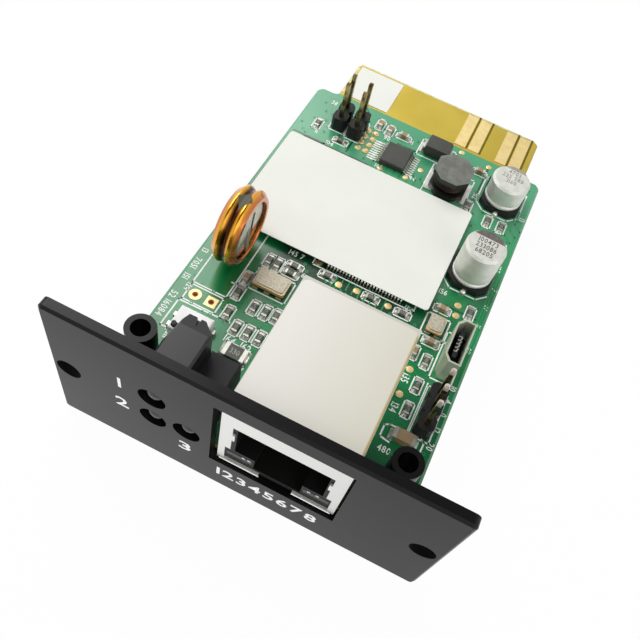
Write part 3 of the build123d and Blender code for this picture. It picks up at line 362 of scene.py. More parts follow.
# Dust patches on the top. The top is painted lighter as glare, and the sides almost black as painted
# shade.
dust = ferrite.noise(1.4, 4.0).above(0.5, 0.24)
painted_glare_top = ferrite.facing_up().above(0.8, 0.2) * ferrite.axis("Z").above(CORE_TOP_Z)
dust_and_painted_glare = ferrite.mix(dust, tone(118, 120, 113), tone(100, 102, 94))
ferrite.set("Base Color", ferrite.mix(painted_glare_top, tone(22, 23, 18), dust_and_painted_glare))

# %% [markdown]
# Paper and print. The two blank stickers are matt, slightly fibrous and not quite white: the one
# on the jack is a warmer cream than the one over the chips, and it is painted darker and warmer
# towards its right, as painted shade, where its cut edge is worn to ochre. The white print on the
# board is a thin rough ink, and that on the faceplate has a faint painted glow, which keeps it
# bright in the plate's shade.

# %% Paper and print
CREAM_SHADE_ROUND_X = 5.0
CREAM_SHADE_OVER = 14.0


def paper(name, colour, shade, roughness):
    finish = Finish(name, colour, roughness, {"Specular IOR Level": 0.08})
    finish.mottle(colour, shade, size=9.0, detail=4.0)
    finish.grain(0.004, 0.25, detail=4.0)
    return finish


def print_ink(name, colour, shade):
    Finish(name, colour, 0.55).mottle(colour, shade, size=0.6)


paper("label_white", tone(236, 237, 230), tone(233, 234, 226), 0.6)
paper("white_ink", tone(252, 254, 250), tone(240, 244, 238), 0.6)
plate_ink_painted_glow = paper("plate_ink_painted_glow", tone(252, 252, 252), tone(244, 244, 244), 0.6)
# Painted light: the ink glows faintly, so it stays bright in the plate's shade.
plate_ink_painted_glow.set("Emission Color", (1.0, 1.0, 1.0, 1.0))
plate_ink_painted_glow.set("Emission Strength", 0.32)
print_ink("can_mark", tone(92, 84, 80), tone(112, 102, 98))
print_ink("can_mark_pale", tone(168, 162, 158), tone(150, 145, 140))
print_ink("value_ink", tone(176, 176, 164), tone(140, 140, 130))

cream = paper("label_cream", tone(232, 230, 222), tone(228, 226, 216), 0.55)
label_right = float(drawn_box("rj45_label")[1][0])
# Painted shade: darker and warmer towards the label's right.
painted_right_shade = cream.axis("X").above(CREAM_SHADE_ROUND_X, CREAM_SHADE_OVER)
worn_edge = cream.axis("X").above(label_right - 0.2, 0.2)
cream_tone = cream.mix(painted_right_shade, tone(234, 232, 225), tone(219, 216, 202))
cream.set("Base Color", cream.mix(worn_edge, cream_tone, tone(186, 164, 104)))

# %% [markdown]
# Bare metals share one recipe: a metallic base, gloss that varies in small patches, and a
# shallow relief. Stretching the noise along one axis turns the relief into brushed lines, as on
# the drawn cans. Some are duller than bare metal: lacquered, oxidised or covered with flux, so
# they are only partly metallic.

# %% Bare metals
# Both pin tones are painted darker than the pads' gold: painted reflection of dark surroundings.
PIN_TONES = (tone(176, 158, 106), tone(96, 82, 52))


def bare_metal(
    name, colour, shade, roughness,
    height=0.004, size=0.3, uneven=0.12, stretch=(1, 1, 1), metallic=1.0,
):
    finish = Finish(name, colour, roughness, {"Metallic": metallic})
    finish.mottle(colour, shade, size=1.2)
    finish.uneven_gloss(roughness, uneven)
    finish.grain(height, size, stretch)
    return finish


bare_metal("zinc_steel", tone(196, 196, 194), tone(170, 170, 166), 0.32)
bare_metal("tinned_metal", tone(216, 216, 206), tone(188, 188, 178), 0.48, 0.006, 0.35)
# Painted light: a brighter copy of the tinned metal, for leads, terminals and beads that show bright.
bare_metal("solder_painted_lit", tone(232, 232, 224), tone(204, 204, 194), 0.36, 0.004, 0.5)
bare_metal("gold_plating", tone(250, 228, 178), tone(240, 210, 148), 0.5, 0.002, 0.3)
bare_metal("hole_copper", tone(176, 116, 66), tone(140, 84, 44), 0.5)
bare_metal("finger_gold", tone(248, 226, 164), tone(240, 215, 150), 0.5, 0.001, 0.8, 0.04)
bare_metal("tab_shade", tone(132, 114, 40), tone(118, 102, 36), 0.6, 0.001, 0.8, 0.04)
bare_metal("tab_edge", tone(222, 216, 172), tone(206, 200, 150), 0.6, 0.001, 0.8, 0.04)
bare_metal("copper_wire", tone(48, 31, 21), tone(22, 15, 10), 0.4, 0.004, 0.2, metallic=0.5)
bare_metal(
    "socket_steel", tone(198, 206, 186), tone(186, 194, 172), 0.5, 0.001, 0.6, 0.05, metallic=0.55,
)
bare_metal(
    "capacitor_aluminium", tone(230, 231, 222), tone(216, 218, 209), 0.48, 0.001, 0.4, 0.05,
    stretch=(1, 1, 5), metallic=0.6,
)
pin = bare_metal("pin_gold", *PIN_TONES, 0.3, 0.003, 0.5)
cell = bare_metal("cell_steel", tone(238, 236, 224), tone(224, 222, 208), 0.34, 0.003, 0.6)
lid = bare_metal("crystal_metal", tone(206, 197, 174), tone(192, 180, 152), 0.5, 0.006, 0.25, 0.1)

# %% [markdown]
# A few metals change with place. The cell's face is dull above and mirrors the board below. The
# shield's top is painted dull and pale, almost like the paper on it: painted light for the sheen
# that the top catches.
# The tall header pins end in bright cut tips. The crystals' lids are plated nickel, almost matt
# on top, with a warm gold rim where each is brazed to its ceramic base.

# %% Tones that change over a metal part
CELL_DULL_FROM_Z = 5.4
PIN_TIP_Z = 8.8
NEAR_HEADER_Y = 30.0
SEAM_Z = 0.52

dull_face = cell.axis("Z").above(CELL_DULL_FROM_Z, 1.8)
cell.set("Metallic", 0.98 - 0.83 * dull_face)
cell.set("Roughness", 0.16 + 0.34 * dull_face)

shield = Finish("shield_steel", tone(246, 246, 243), 0.3)
# Painted light: the shield's top is painted pale and dull.
shield_flat = shield.facing_up().above(0.9, 0.1)
shield.set("Base Color", shield.mix(shield_flat, tone(244, 244, 241), tone(206, 204, 196)))
shield.set("Metallic", 1.0 - 0.75 * shield_flat)
shield.set("Roughness", 0.3 + 0.4 * shield_flat + 0.05 * shield.noise(0.6, 3.0, (1, 6, 6)))
shield.grain(0.0006, 0.6, (1, 6, 6))

at_tip = pin.axis("Z").above(PIN_TIP_Z - 1.1, 0.3) * (1.0 - pin.axis("Y").above(NEAR_HEADER_Y))
pin_stain = pin.noise(1.2, 3.0).above(0.5, 0.2)
pin.set("Base Color", pin.mix(at_tip, pin.mix(pin_stain, *PIN_TONES), tone(246, 232, 218)))
pin.set("Metallic", 1.0 - 0.5 * at_tip)

lid_flat = lid.facing_up().above(0.8, 0.2)
stain = lid.noise(0.35, 4.0).above(0.51, 0.14)
lid_top = lid.mix(stain, tone(206, 198, 180), tone(188, 178, 156))
lid.set("Base Color", lid.mix(lid_flat, tone(236, 186, 92), lid_top))
lid.set("Metallic", 0.9 - 0.45 * lid_flat)

seam = Finish("crystal_seam", tone(30, 29, 28), 0.36)
on_seam = seam.axis("Z").above(SEAM_Z)
seam_gold = seam.mix(seam.noise(0.6), tone(246, 194, 96), tone(206, 150, 60))
seam.set("Base Color", seam.mix(on_seam, tone(34, 33, 29), seam_gold))
seam.set("Metallic", 0.9 * on_seam)
seam.grain(0.004, 0.2)

# %% [markdown]
# The shrunk sleeve is a clear amber film with a strong gloss. Light goes in, takes colour and
# comes back from the steel behind it, which a metallic base under a clear coat shows well. Its
# tone goes from golden on the ridges to dark brown in the groove between them, so the share of
# brown follows the distance from the sleeve's own middle plane. At the very top the grey leaf
# that joins the two cells shows through the film as a small diamond: the two distances from its
# middle, each as a share of its own half width, add up to less than 1.

# %% The amber sleeve
LEAF_HALF_X = 1.1
LEAF_HALF_Y = 1.8
LEAF_X = 0.25
LEAF_Y = 0.1
sleeve_low, sleeve_high = drawn_box("supercap_sleeve")
sleeve_x, sleeve_y, sleeve_z = ((sleeve_low + sleeve_high) / 2).tolist()
sleeve_half = float(sleeve_high[0] - sleeve_low[0]) / 2
sleeve_radius = float(sleeve_high[1] - sleeve_low[1]) / 2
print("sleeve radius", round(sleeve_radius, 2), "mm, half width", round(sleeve_half, 2), "mm")

amber = Finish("amber_sleeve", tone(214, 142, 30), 0.24, {"Coat Roughness": 0.06})
off_centre = (amber.axis("X") - sleeve_x).size() / sleeve_half
groove = 1.0 - off_centre.above(0.3, 0.24)
flank = off_centre.above(0.74, 0.2)
gold_tone = amber.mix(amber.noise(2.0), tone(246, 186, 44), tone(222, 146, 26))
brown_tone = amber.mix(groove, gold_tone, tone(72, 34, 8))
film_tone = amber.mix(flank, brown_tone, tone(206, 116, 48))
from_leaf_x = (amber.axis("X") - sleeve_x - LEAF_X).size() / LEAF_HALF_X
from_leaf_y = (amber.axis("Y") - sleeve_y - LEAF_Y).size() / LEAF_HALF_Y
in_leaf = 1.0 - (from_leaf_x + from_leaf_y).above(1.0, 0.16)
leaf = in_leaf * amber.axis("Z").above(sleeve_z)
amber.set("Base Color", amber.mix(leaf, film_tone, tone(86, 86, 70)))
amber.set("Metallic", 0.88 * (1.0 - leaf))
amber.set("Roughness", 0.24 + 0.36 * leaf)
amber.set("Coat Weight", (0.5 - 0.48 * groove) * (1.0 - leaf))
amber.grain(0.008, 0.9, detail=1.0)

# %% [markdown]
# The board is glass laminate under a green mask. Three things show: the glossy mask on both
# faces, the yellowish cut edges, found by the direction of the surface, and the bare plated tab
# beyond the shoulders, where the mask stops. On the upper face the mask is not one green. It is
# painted darker behind the right of the faceplate, as painted shade, and before the large
# sticker, as the sticker's painted shadow, and it is painted paler at the rear, as painted sheen.

# %% The board
MASK_GLOSS = {"Specular IOR Level": 0.8}
TAB_BARE_FROM_Y = 70.1

laminate = Finish("laminate", tone(10, 104, 62), 0.3, MASK_GLOSS)
board_x = laminate.axis("X")
board_y = laminate.axis("Y")
cut_edge = 1.0 - laminate.facing_up().size().above(0.5)
upper_face = laminate.facing_up().above(0.5)
bare_tab = board_y.above(TAB_BARE_FROM_Y)
cloud = laminate.noise(9.0, 3.0).above(0.5, 0.2)
fibre = laminate.noise(0.5, 3.0, (1, 4, 1))

# Painted shade: the mask is darker behind the right of the faceplate.
painted_plate_shade = (1.0 - board_y.above(10.0, 14.0)) * board_x.above(-2.0, 8.0)
sticker_depth = board_y.above(29.0, 5.0) * (1.0 - board_y.above(38.0, 2.0))
sticker_width = board_x.above(-12.0, 4.0) * (1.0 - board_x.above(12.0, 8.0))
mask_tone = laminate.mix(cloud, tone(4, 136, 76), tone(3, 116, 62))
mask_tone = laminate.mix(upper_face * painted_plate_shade, mask_tone, tone(2, 56, 30))
# Painted shadow: a dark band before the large sticker.
painted_sticker_shadow = upper_face * sticker_depth * sticker_width
mask_tone = laminate.mix(painted_sticker_shadow, mask_tone, tone(2, 58, 30))
# Painted sheen: the mask is paler towards the rear.
painted_rear_sheen = upper_face * board_y.above(51.0, 18.0)
mask_tone = laminate.mix(painted_rear_sheen, mask_tone, tone(66, 158, 112))
edge_tone = laminate.mix(fibre, tone(206, 202, 130), tone(176, 180, 112))
tab_tone = laminate.mix(cloud, tone(204, 182, 76), tone(197, 174, 69))
face_tone = laminate.mix(bare_tab, mask_tone, tab_tone)
laminate.set("Base Color", laminate.mix(cut_edge, face_tone, edge_tone))
laminate.set("Roughness", 0.25 + 0.29 * bare_tab + 0.2 * cut_edge)
laminate.set("Metallic", 0.85 * bare_tab * (1.0 - cut_edge))
laminate.grain(0.004, 0.5, detail=3.0)


def masked_copper(name, colour, shade):
    """Copper that lies under the green mask: the same gloss, and a tone of its own."""
    finish = Finish(name, colour, 0.25, MASK_GLOSS)
    finish.mottle(colour, shade, size=4.0)
    finish.grain(0.004, 0.5)


masked_copper("masked_trace", tone(24, 156, 92), tone(16, 142, 80))
masked_copper("masked_gap", tone(2, 76, 40), tone(2, 64, 34))

# %% [markdown]
# Every part of the frame now takes the finish of its own slot in the record. A few of the gold
# parts differ: the contacts on the tab are plated paler, and the pins are painted darker, as a
# painted reflection of the dark parts round them. Nothing is moved and no mesh is touched: only
# the material slots change.
# moved and no mesh is touched: only the material slots change.

# %% Give each part its finish
OWN_FINISH = {
    "edge_fingers": "finger_gold",
    "serial_header_pins": "pin_gold",
    "jumper_header_pins": "pin_gold",
    "large_crystal_base": "crystal_seam",
    "small_crystal_base": "crystal_seam",
    "tab_label": "label_white",
    "usb_shell": "socket_steel",
    # Painted light: these leads and terminals take the brighter copy of the tin.
    "ceramic_capacitor_ends": "solder_painted_lit",
    "inductor_terminals": "solder_painted_lit",
    "processor_leads": "solder_painted_lit",
    "memory_leads": "solder_painted_lit",
    "capacitor_terminals": "solder_painted_lit",
}
for part in frame["record"]["subparts"]:
    slots = nodes[part["node"]].data.materials
    slots.clear()
    slots.append(FINISHES[OWN_FINISH.get(part["node"], part["material_slot"])])
print(len(FINISHES), "finishes")

# %% [markdown]
# New pieces are arrays of points and lists of faces. A small closed unit shape is copied many
# times at once: each copy has an origin and three arrows, and a point u, v, w of the unit goes
# to origin + u * along + v * across + w * up. The arrows always make a right-handed set, so the
# faces of every copy point outwards.

# %% Put points and faces into a piece


def add_piece(name, made, slot, finish=None, smooth=False, body="card"):
    """A new mesh from drawing millimetres, with its finish, that rides on a body of the card."""
    points, faces = made
    mesh = bpy.data.meshes.new(name)
    mesh.from_pydata(metres(points).tolist(), [], faces)
    mesh.polygons.foreach_set("use_smooth", np.full(len(faces), smooth))
    mesh.materials.append(FINISHES[finish or slot])
    mesh.update()
    piece = placed(name, mesh)
    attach(piece, body)
    print(name, len(points), "points,", len(faces), "faces")
    return piece


def joined(*parts):
    """Several lots of points and faces as one."""
    points = []
    faces = []
    start = 0
    for part_points, part_faces in parts:
        points.append(np.asarray(part_points, float).reshape(-1, 3))
        faces += [tuple(int(i) + start for i in face) for face in part_faces]
        start += len(points[-1])
    return np.concatenate(points), faces


def flipped(made):
    """The same faces with their other side out, for a shape that was mirrored."""
    points, faces = made
    return points, [tuple(face)[::-1] for face in faces]


# %% Unit shapes


def prism(outline):
    """A flat outline with a floor at w = 0 and a roof at w = 1."""
    outline = np.asarray(outline, float)
    count = len(outline)
    points = np.concatenate([np.c_[outline, np.zeros(count)], np.c_[outline, np.ones(count)]])
    walls = [(i, (i + 1) % count, (i + 1) % count + count, i + count) for i in range(count)]
    return points, [tuple(range(count))[::-1], tuple(range(count, 2 * count)), *walls]


def round_outline(sides):
    """Points at equal angles on a circle of diameter 1, with a flat towards each axis."""
    angle = (np.arange(sides) + 0.5) * 2 * np.pi / sides
    return np.c_[np.cos(angle), np.sin(angle)] / 2


def turned(profile, sides):
    """A profile of (radius, w) from the axis to the axis, turned about w; ends are single points."""
    profile = np.asarray(profile, float)
    angle = np.arange(sides) * 2 * np.pi / sides
    middle = profile[1:-1]
    ring = np.stack([np.cos(angle), np.sin(angle)], axis=1)
    body = np.concatenate([np.c_[ring * radius, np.full(sides, w)] for radius, w in middle])
    points = np.concatenate([[[0, 0, profile[0][1]]], body, [[0, 0, profile[-1][1]]]])
    last = len(points) - 1
    rows = len(middle)
    step = np.arange(sides)
    follow = (step + 1) % sides
    faces = [(0, 1 + follow[i], 1 + i) for i in step]
    for row in range(rows - 1):
        low = 1 + row * sides
        faces += [(low + i, low + follow[i], low + sides + follow[i], low + sides + i) for i in step]
    top = 1 + (rows - 1) * sides
    faces += [(last, top + i, top + follow[i]) for i in step]
    return points, faces


def ring_shape(sides, bore):
    """A flat washer of diameter 1: outer and inner walls between a floor and a roof."""
    outer = round_outline(sides)
    inner = outer * bore
    flat = np.concatenate([outer, inner])
    points = np.concatenate([np.c_[flat, np.zeros(len(flat))], np.c_[flat, np.ones(len(flat))]])
    faces = []
    for i in range(sides):
        j = (i + 1) % sides
        low, up = (i, j, sides + j, sides + i), 2 * sides
        faces.append(low[::-1])
        faces.append(tuple(corner + up for corner in low))
        faces.append((i, j, j + up, i + up))
        faces.append((sides + j, sides + i, sides + i + up, sides + j + up))
    return points, faces


def heap_shape(steps=4):
    """Solder against a metal end: height (1 - u) squared, lower towards both sides v."""
    count = steps + 1
    u, v = np.meshgrid(np.linspace(0, 1, count), np.linspace(-0.5, 0.5, count), indexing="ij")
    height = 0.12 + 0.88 * (1 - u) ** 2 * (1 - np.abs(2 * v) ** 3 * 0.7)
    narrowed = v * (1 - 0.25 * u**2)
    top = np.stack([u, narrowed, height], axis=-1).reshape(-1, 3)
    foot = np.stack([u, narrowed, 0 * u], axis=-1).reshape(-1, 3)
    size = count * count
    faces = []
    for i in range(steps):
        for j in range(steps):
            a = i * count + j
            faces.append((a, a + count, a + count + 1, a + 1))
            faces.append((size + a, size + a + 1, size + a + count + 1, size + a + count))
    corner = np.arange(size).reshape(count, count).tolist()
    left, right = ([row[side] for row in corner] for side in (0, -1))
    for line, turn in ((corner[0], 1), (corner[-1], -1), (left, -1), (right, 1)):
        for a, b in zip(line[:-1], line[1:]):
            faces.append((a, b, b + size, a + size)[::turn])
    return np.concatenate([top, foot]), faces


BOX = prism([(-0.5, -0.5), (0.5, -0.5), (0.5, 0.5), (-0.5, 0.5)])
HEAP = heap_shape()
DISC = prism(round_outline(12))
FILLET = [(0, 0), (0.5, 0.0), (0.46, 0.1), (0.24, 0.3), (0.17, 0.7), (0.1, 1.0), (0, 1.0)]
FILLET_CONE = turned(FILLET, 10)
VIA = ring_shape(10, 0.45)
DOME = turned([(0, 0), (0.5, 0.0), (0.5, 0.3), (0.42, 0.68), (0.25, 0.93), (0, 1.0)], 20)

# %% Copy a unit shape


def copies(shape, origins, sizes, headings=0.0, heights=0.0):
    """Copies of a unit shape: each has a length, width and height, and a heading in degrees."""
    unit, faces = shape
    origins = np.atleast_2d(np.asarray(origins, float))
    count = len(origins)
    if origins.shape[1] == 2:
        origins = np.c_[origins, np.broadcast_to(heights, count)]
    sizes = np.broadcast_to(np.asarray(sizes, float), (count, 3))
    turn = np.radians(np.broadcast_to(np.asarray(headings, float), count))
    along = np.c_[np.cos(turn), np.sin(turn), 0 * turn] * sizes[:, :1]
    across = np.c_[-np.sin(turn), np.cos(turn), 0 * turn] * sizes[:, 1:2]
    up = np.c_[0 * turn, 0 * turn, np.ones(count)] * sizes[:, 2:]
    arrows = (along, across, up)
    points = origins[:, None] + sum(unit[None, :, k, None] * arrows[k][:, None] for k in range(3))
    step = len(unit)
    moved = [tuple(int(i) + step * n for i in face) for n in range(count) for face in faces]
    return points.reshape(-1, 3), moved


def strips(lines, width, floor, roof, closed=False):
    """Thin flat lines: each run between two points is a closed bar, longer by half its width."""
    starts = []
    ends = []
    for line in lines:
        line = np.asarray(line, float)
        starts.append(line if closed else line[:-1])
        ends.append(np.roll(line, -1, axis=0) if closed else line[1:])
    starts = np.concatenate(starts)
    ends = np.concatenate(ends)
    run = ends - starts
    length = np.hypot(*run.T)
    keep = length > 1e-6
    sizes = np.c_[length + width, np.full(len(run), width), np.full(len(run), roof - floor)]
    heading = np.degrees(np.arctan2(run[:, 1], run[:, 0]))
    middle = np.c_[(starts + ends) / 2, np.full(len(run), floor)]
    return copies(BOX, middle[keep], sizes[keep], heading[keep])


# %% [markdown]
# The standby cell stands on its edge in a shrunk plastic sleeve with two round ridges. Its skin
# is a surface of revolution about a line across the card: a closed section, out over the ridges
# and back along the inside, is carried round a full circle. The ridges are two humps of a
# cosine, so the film looks drawn tight over the rims of the cells.

# %% The shrunk sleeve
SLEEVE_SKIN = 0.22
SLEEVE_MOUTH_R = 4.5
SLEEVE_WAIST = 0.42
SLEEVE_LIP = 0.52
SLEEVE_SIDE_DROP = 0.7


def sleeve_skin(across_steps=36, round_steps=96):
    """Radius over the width s from -1 to 1: two cosine humps, a waist and rounded shoulders."""
    half = sleeve_half
    s = np.linspace(-1, 1, across_steps)
    ridges = sleeve_radius - SLEEVE_WAIST * (0.5 + 0.5 * np.cos(2 * np.pi * s)) * (1 - s**8)
    outside = ridges - SLEEVE_SIDE_DROP * np.abs(s) ** 7
    lip = np.linspace(0, 1, 7)[1:]
    right = np.c_[np.full(len(lip), half), outside[-1] + (SLEEVE_MOUTH_R - outside[-1]) * lip]
    inside = outside - SLEEVE_SKIN - 0.35 * np.abs(s) ** 6
    x_inside = s * (half - SLEEVE_SKIN)
    left = right[::-1] * [-1, 1]
    section = np.concatenate([
        np.c_[s * half, outside],
        right,
        [[half - SLEEVE_LIP, SLEEVE_MOUTH_R]],
        np.c_[x_inside[::-1], inside[::-1]],
        [[-(half - SLEEVE_LIP), SLEEVE_MOUTH_R]],
        left,
    ])
    angle = np.arange(round_steps) * 2 * np.pi / round_steps
    x = sleeve_x + section[None, :, 0] + 0 * angle[:, None]
    y = sleeve_y + section[None, :, 1] * np.cos(angle)[:, None]
    z = sleeve_z + section[None, :, 1] * np.sin(angle)[:, None]
    points = np.stack([x, y, z], axis=-1).reshape(-1, 3)
    return points, wrapped_faces(round_steps, len(section))


def wrapped_faces(rows, columns):
    """Faces of a grid that closes on itself both ways."""
    i, j = np.meshgrid(np.arange(rows), np.arange(columns), indexing="ij")
    a = i * columns + j
    b = i * columns + (j + 1) % columns
    c = (i + 1) % rows * columns + (j + 1) % columns
    d = (i + 1) % rows * columns + j
    return np.stack([a, b, c, d], axis=-1).reshape(-1, 4).tolist()


sleeve = add_piece("shrunk_sleeve", sleeve_skin(), "amber_sleeve", smooth=True)
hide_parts("supercap_sleeve")

# %% [markdown]
# The right cell's leg is welded to its face and runs down to the board. It is drawn as a thin
# black strip, which is the leg and its painted shadow in one. In its own plane it is a bar
# between two points, given as (y, z).

# %% The welded leg and its painted shadow
LEG_TOP = (30.9, 8.3)
LEG_FOOT = (29.5, 2.0)
LEG_W = 0.42
LEG_T = 0.08


def leg_and_shadow_strip():
    """A bar from foot to top on the cell's face, half its width to each side of the line."""
    foot, top = np.array(LEG_FOOT), np.array(LEG_TOP)
    run = top - foot
    side = np.array([-run[1], run[0]]) / np.hypot(*run) * LEG_W / 2
    corners = np.array([foot - side, foot + side, top + side, top - side])
    face = float(drawn_box("supercap_cell_right")[1][0])
    points = np.concatenate([np.c_[np.full(4, face + t), corners] for t in (0.0, LEG_T)])
    sides = [(i, i + 4, (i + 1) % 4 + 4, (i + 1) % 4) for i in range(4)]
    return points, [(0, 1, 2, 3), (7, 6, 5, 4), *sides]


# The strip is black: the leg together with its painted shadow.
add_piece("cell_leg_and_shadow", leg_and_shadow_strip(), "tinned_metal", finish="connector_black")

# %% [markdown]
# Enamelled wire fills the neck of the coil. It is wound as a real helix: a round section is
# carried along a line that climbs one wire's thickness for each turn, and both cut ends are
# closed with a fan of faces.

# %% The wound wire
coil_low, coil_high = drawn_box("inductor_winding")
coil_middle = (coil_low + coil_high) / 2
COIL_TURNS = 5


def winding(steps_per_turn=40, sides=8):
    """Centre line at angle t: radius constant, height rising evenly; a circle is swept along it."""
    wire_r = float(coil_high[2] - coil_low[2]) / COIL_TURNS / 2 * 0.98
    outer_r = float(coil_high[0] - coil_low[0]) / 2
    turns = COIL_TURNS - 1
    t = np.linspace(0, turns, turns * steps_per_turn + 1)
    phi = 2 * np.pi * t
    a = np.arange(sides) * 2 * np.pi / sides
    radius = outer_r - wire_r + wire_r * np.cos(a)[None, :]
    height = coil_low[2] + wire_r + t[:, None] * 2 * wire_r + wire_r * np.sin(a)[None, :]
    x = coil_middle[0] + radius * np.cos(phi)[:, None]
    y = coil_middle[1] + radius * np.sin(phi)[:, None]
    points = np.stack([x, y, height], axis=-1).reshape(-1, 3)
    rows = len(t)
    i, j = np.meshgrid(np.arange(rows - 1), np.arange(sides), indexing="ij")
    first = i * sides + j
    second = i * sides + (j + 1) % sides
    corners = np.stack([first, first + sides, second + sides, second], axis=-1)
    faces = corners.reshape(-1, 4).tolist()
    faces.append(tuple(range(sides)))
    faces.append(tuple(range((rows - 1) * sides, rows * sides))[::-1])
    return points, faces


wire = add_piece("wound_wire", winding(), "copper_wire", smooth=True)
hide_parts("inductor_winding")

# %% [markdown]
# Solder runs up the end caps of every chip and thins out over its pad. The direction of each
# fillet is found from the frame itself: from the middle of the chip's body to the middle of
# its end cap.

# %% Solder at the chips' ends
PAD_REACH = 0.42
PAD_T = 0.05
SOLDERED = {
    "chip_resistor_ends": "chip_resistors",
    "chip_capacitor_ends": "chip_capacitors",
    "ceramic_capacitor_ends": "ceramic_capacitor_body",
}


def ends_with_headings(ends, bodies):
    """For each end cap: where its outer face meets the board, its width, height and heading."""
    end_middle = ends.mean(axis=1)
    body_middle = bodies.mean(axis=1)
    nearest = np.argmin(np.hypot(*(end_middle[:, None, :2] - body_middle[None, :, :2]).T).T, axis=1)
    away = end_middle[:, :2] - body_middle[nearest, :2]
    along_x = np.abs(away[:, 0]) > np.abs(away[:, 1])
    sign = np.sign(np.where(along_x, away[:, 0], away[:, 1]))
    extent = ends[:, 1] - ends[:, 0]
    reach = np.where(along_x, extent[:, 0], extent[:, 1]) / 2
    width = np.where(along_x, extent[:, 1], extent[:, 0])
    direction = np.where(along_x[:, None], np.c_[sign, 0 * sign], np.c_[0 * sign, sign])
    outer_face = end_middle[:, :2] + direction * reach[:, None]
    heading = np.degrees(np.arctan2(direction[:, 1], direction[:, 0]))
    return outer_face, width, ends[:, 1, 2], heading, direction


def chip_solder(ends, bodies):
    """A heap of solder against each end cap, and the pad that carries it."""
    found = ends_with_headings(bodies_of(ends), bodies_of(bodies))
    face, width, height, heading, direction = found
    each = np.ones(len(face))
    heaps = copies(HEAP, face, np.c_[PAD_REACH * each, width * 0.96, height * 0.72], heading)
    middle = face + direction * (PAD_REACH / 2 - 0.1)
    pad_size = np.c_[(PAD_REACH + 0.3) * each, width + 0.16, PAD_T * each]
    return joined(heaps, copies(BOX, middle, pad_size, heading))


solder = joined(*(chip_solder(ends, bodies) for ends, bodies in SOLDERED.items()))
add_piece("chip_solder", solder, "tinned_metal", smooth=True)

# %% [markdown]
# Solder also stands as a bright bead at the foot of each can, lies in long pads beyond the small
# chip's leads and shows at the corners of the crystals. Every bead and pad takes its place from
# the box of the lead or body that it holds.

# %% Beads and pads of solder
LEAD_PAD_W = 0.34
LEAD_PAD_LEFT = 1.1
LEAD_PAD_RIGHT = 0.3
DIODE_PAD_REACH = 0.5


def can_beads():
    """One bead over the outer end of each can's terminal, away from the middle of its can."""
    cans = [box_middle("tall_capacitor_can"), box_middle("short_capacitor_can")]
    found = []
    for low, high in bodies_of("capacitor_terminals"):
        x, y = (low + high)[:2] / 2
        can = min(cans, key=lambda middle: math.dist(middle, (x, y)))
        found.append((x, high[1] - 0.3 if y > can[1] else low[1] + 0.3))
    return copies(DOME, found, (1.05, 1.2, 0.8))


def chip_lead_pads():
    """A flat pad that runs on from each lead of the small chip: longer on its left side."""
    middle = box_middle("interface_chip")[0]
    places = []
    sizes = []
    for low, high in bodies_of("interface_leads"):
        left = low[0] < middle
        reach = LEAD_PAD_LEFT if left else LEAD_PAD_RIGHT
        x = low[0] - reach / 2 if left else high[0] + reach / 2
        places.append((x, (low[1] + high[1]) / 2))
        sizes.append((reach + 0.3, LEAD_PAD_W, 0.06))
    return copies(BOX, places, sizes)


def crystal_pads(node, columns):
    """Pads that look out from under both long sides of a crystal, at given shares of its width."""
    low, high = drawn_box(node)
    across = [low[0] + share * (high[0] - low[0]) for share in columns]
    return copies(BOX, [(x, y) for x in across for y in (low[1], high[1])], (0.85, 0.36, 0.34))


def diode_pads():
    """A pad under each terminal of the diode that reaches out beyond it."""
    ends = bodies_of("diode_terminals")
    middle = (ends[:, 0] + ends[:, 1])[:, :2] / 2
    size = (ends[:, 1] - ends[:, 0])[:, :2]
    outward = np.sign(middle[:, 0] - box_middle("diode_body")[0])
    places = middle + np.c_[outward * DIODE_PAD_REACH / 2, 0 * outward]
    return copies(BOX, places, np.c_[size + [DIODE_PAD_REACH, 0.3], np.full(len(size), 0.07)])


add_piece(
    "solder_beads",
    joined(
        can_beads(),
        diode_pads(),
        chip_lead_pads(),
        crystal_pads("large_crystal_base", (0.12, 0.5, 0.88)),
        crystal_pads("small_crystal_base", (0.2, 0.8)),
    ),
    "tinned_metal",
    finish="solder_painted_lit",
)

# %% [markdown]
# The bare gold pads of the solid model have eight sides. A low dome over each makes it round, as
# an etched and tinned pad is; the plated hole beside the supercapacitor gets a round ring, and
# both lead holes a copper lining.

# %% Round pads
DOME_COVER = 1.09
LEAD_HOLE_PAD = 1.5
LEAD_HOLE_D = 0.9
ROW_BEYOND_Y = 59.0
PAD_RISE = 0.09
ROW_RISE = 0.26
pads = bodies_of("board_pads")
pad_middle = (pads[:, 0] + pads[:, 1])[:, :2] / 2
pad_across = (pads[:, 1] - pads[:, 0])[:, 0]
is_hole = pad_across > LEAD_HOLE_PAD
in_row = (pads[:, 0, 1] > ROW_BEYOND_Y)[~is_hole]
dome_height = np.where(in_row, ROW_RISE, PAD_RISE)
dome_size = pad_across[~is_hole] * np.where(in_row, 0.96, DOME_COVER)
hole_middle = pad_middle[is_hole]
round_hole = hole_middle[np.argmin(hole_middle[:, 0])]
ring_across = float(pad_across.max()) * DOME_COVER
ring = ring_shape(28, LEAD_HOLE_D / ring_across)
test_points = [(-4.4, 57.5), (0.1, 58.0), (1.75, 61.0), (6.6, 69.2), (11.9, 68.6)]
add_piece(
    "round_pads",
    joined(
        copies(DOME, pad_middle[~is_hole], np.c_[dome_size, dome_size, dome_height]),
        copies(DOME, test_points, (1.0, 1.0, 0.08)),
        copies(ring, [round_hole], (ring_across, ring_across, 0.07)),
    ),
    "gold_plating",
)
lining_size = (LEAD_HOLE_D + 0.02, LEAD_HOLE_D + 0.02, 0.86)
linings = copies(ring_shape(24, 0.62), hole_middle, lining_size, heights=-0.9)
add_piece("hole_linings", linings, "gold_plating", finish="hole_copper")

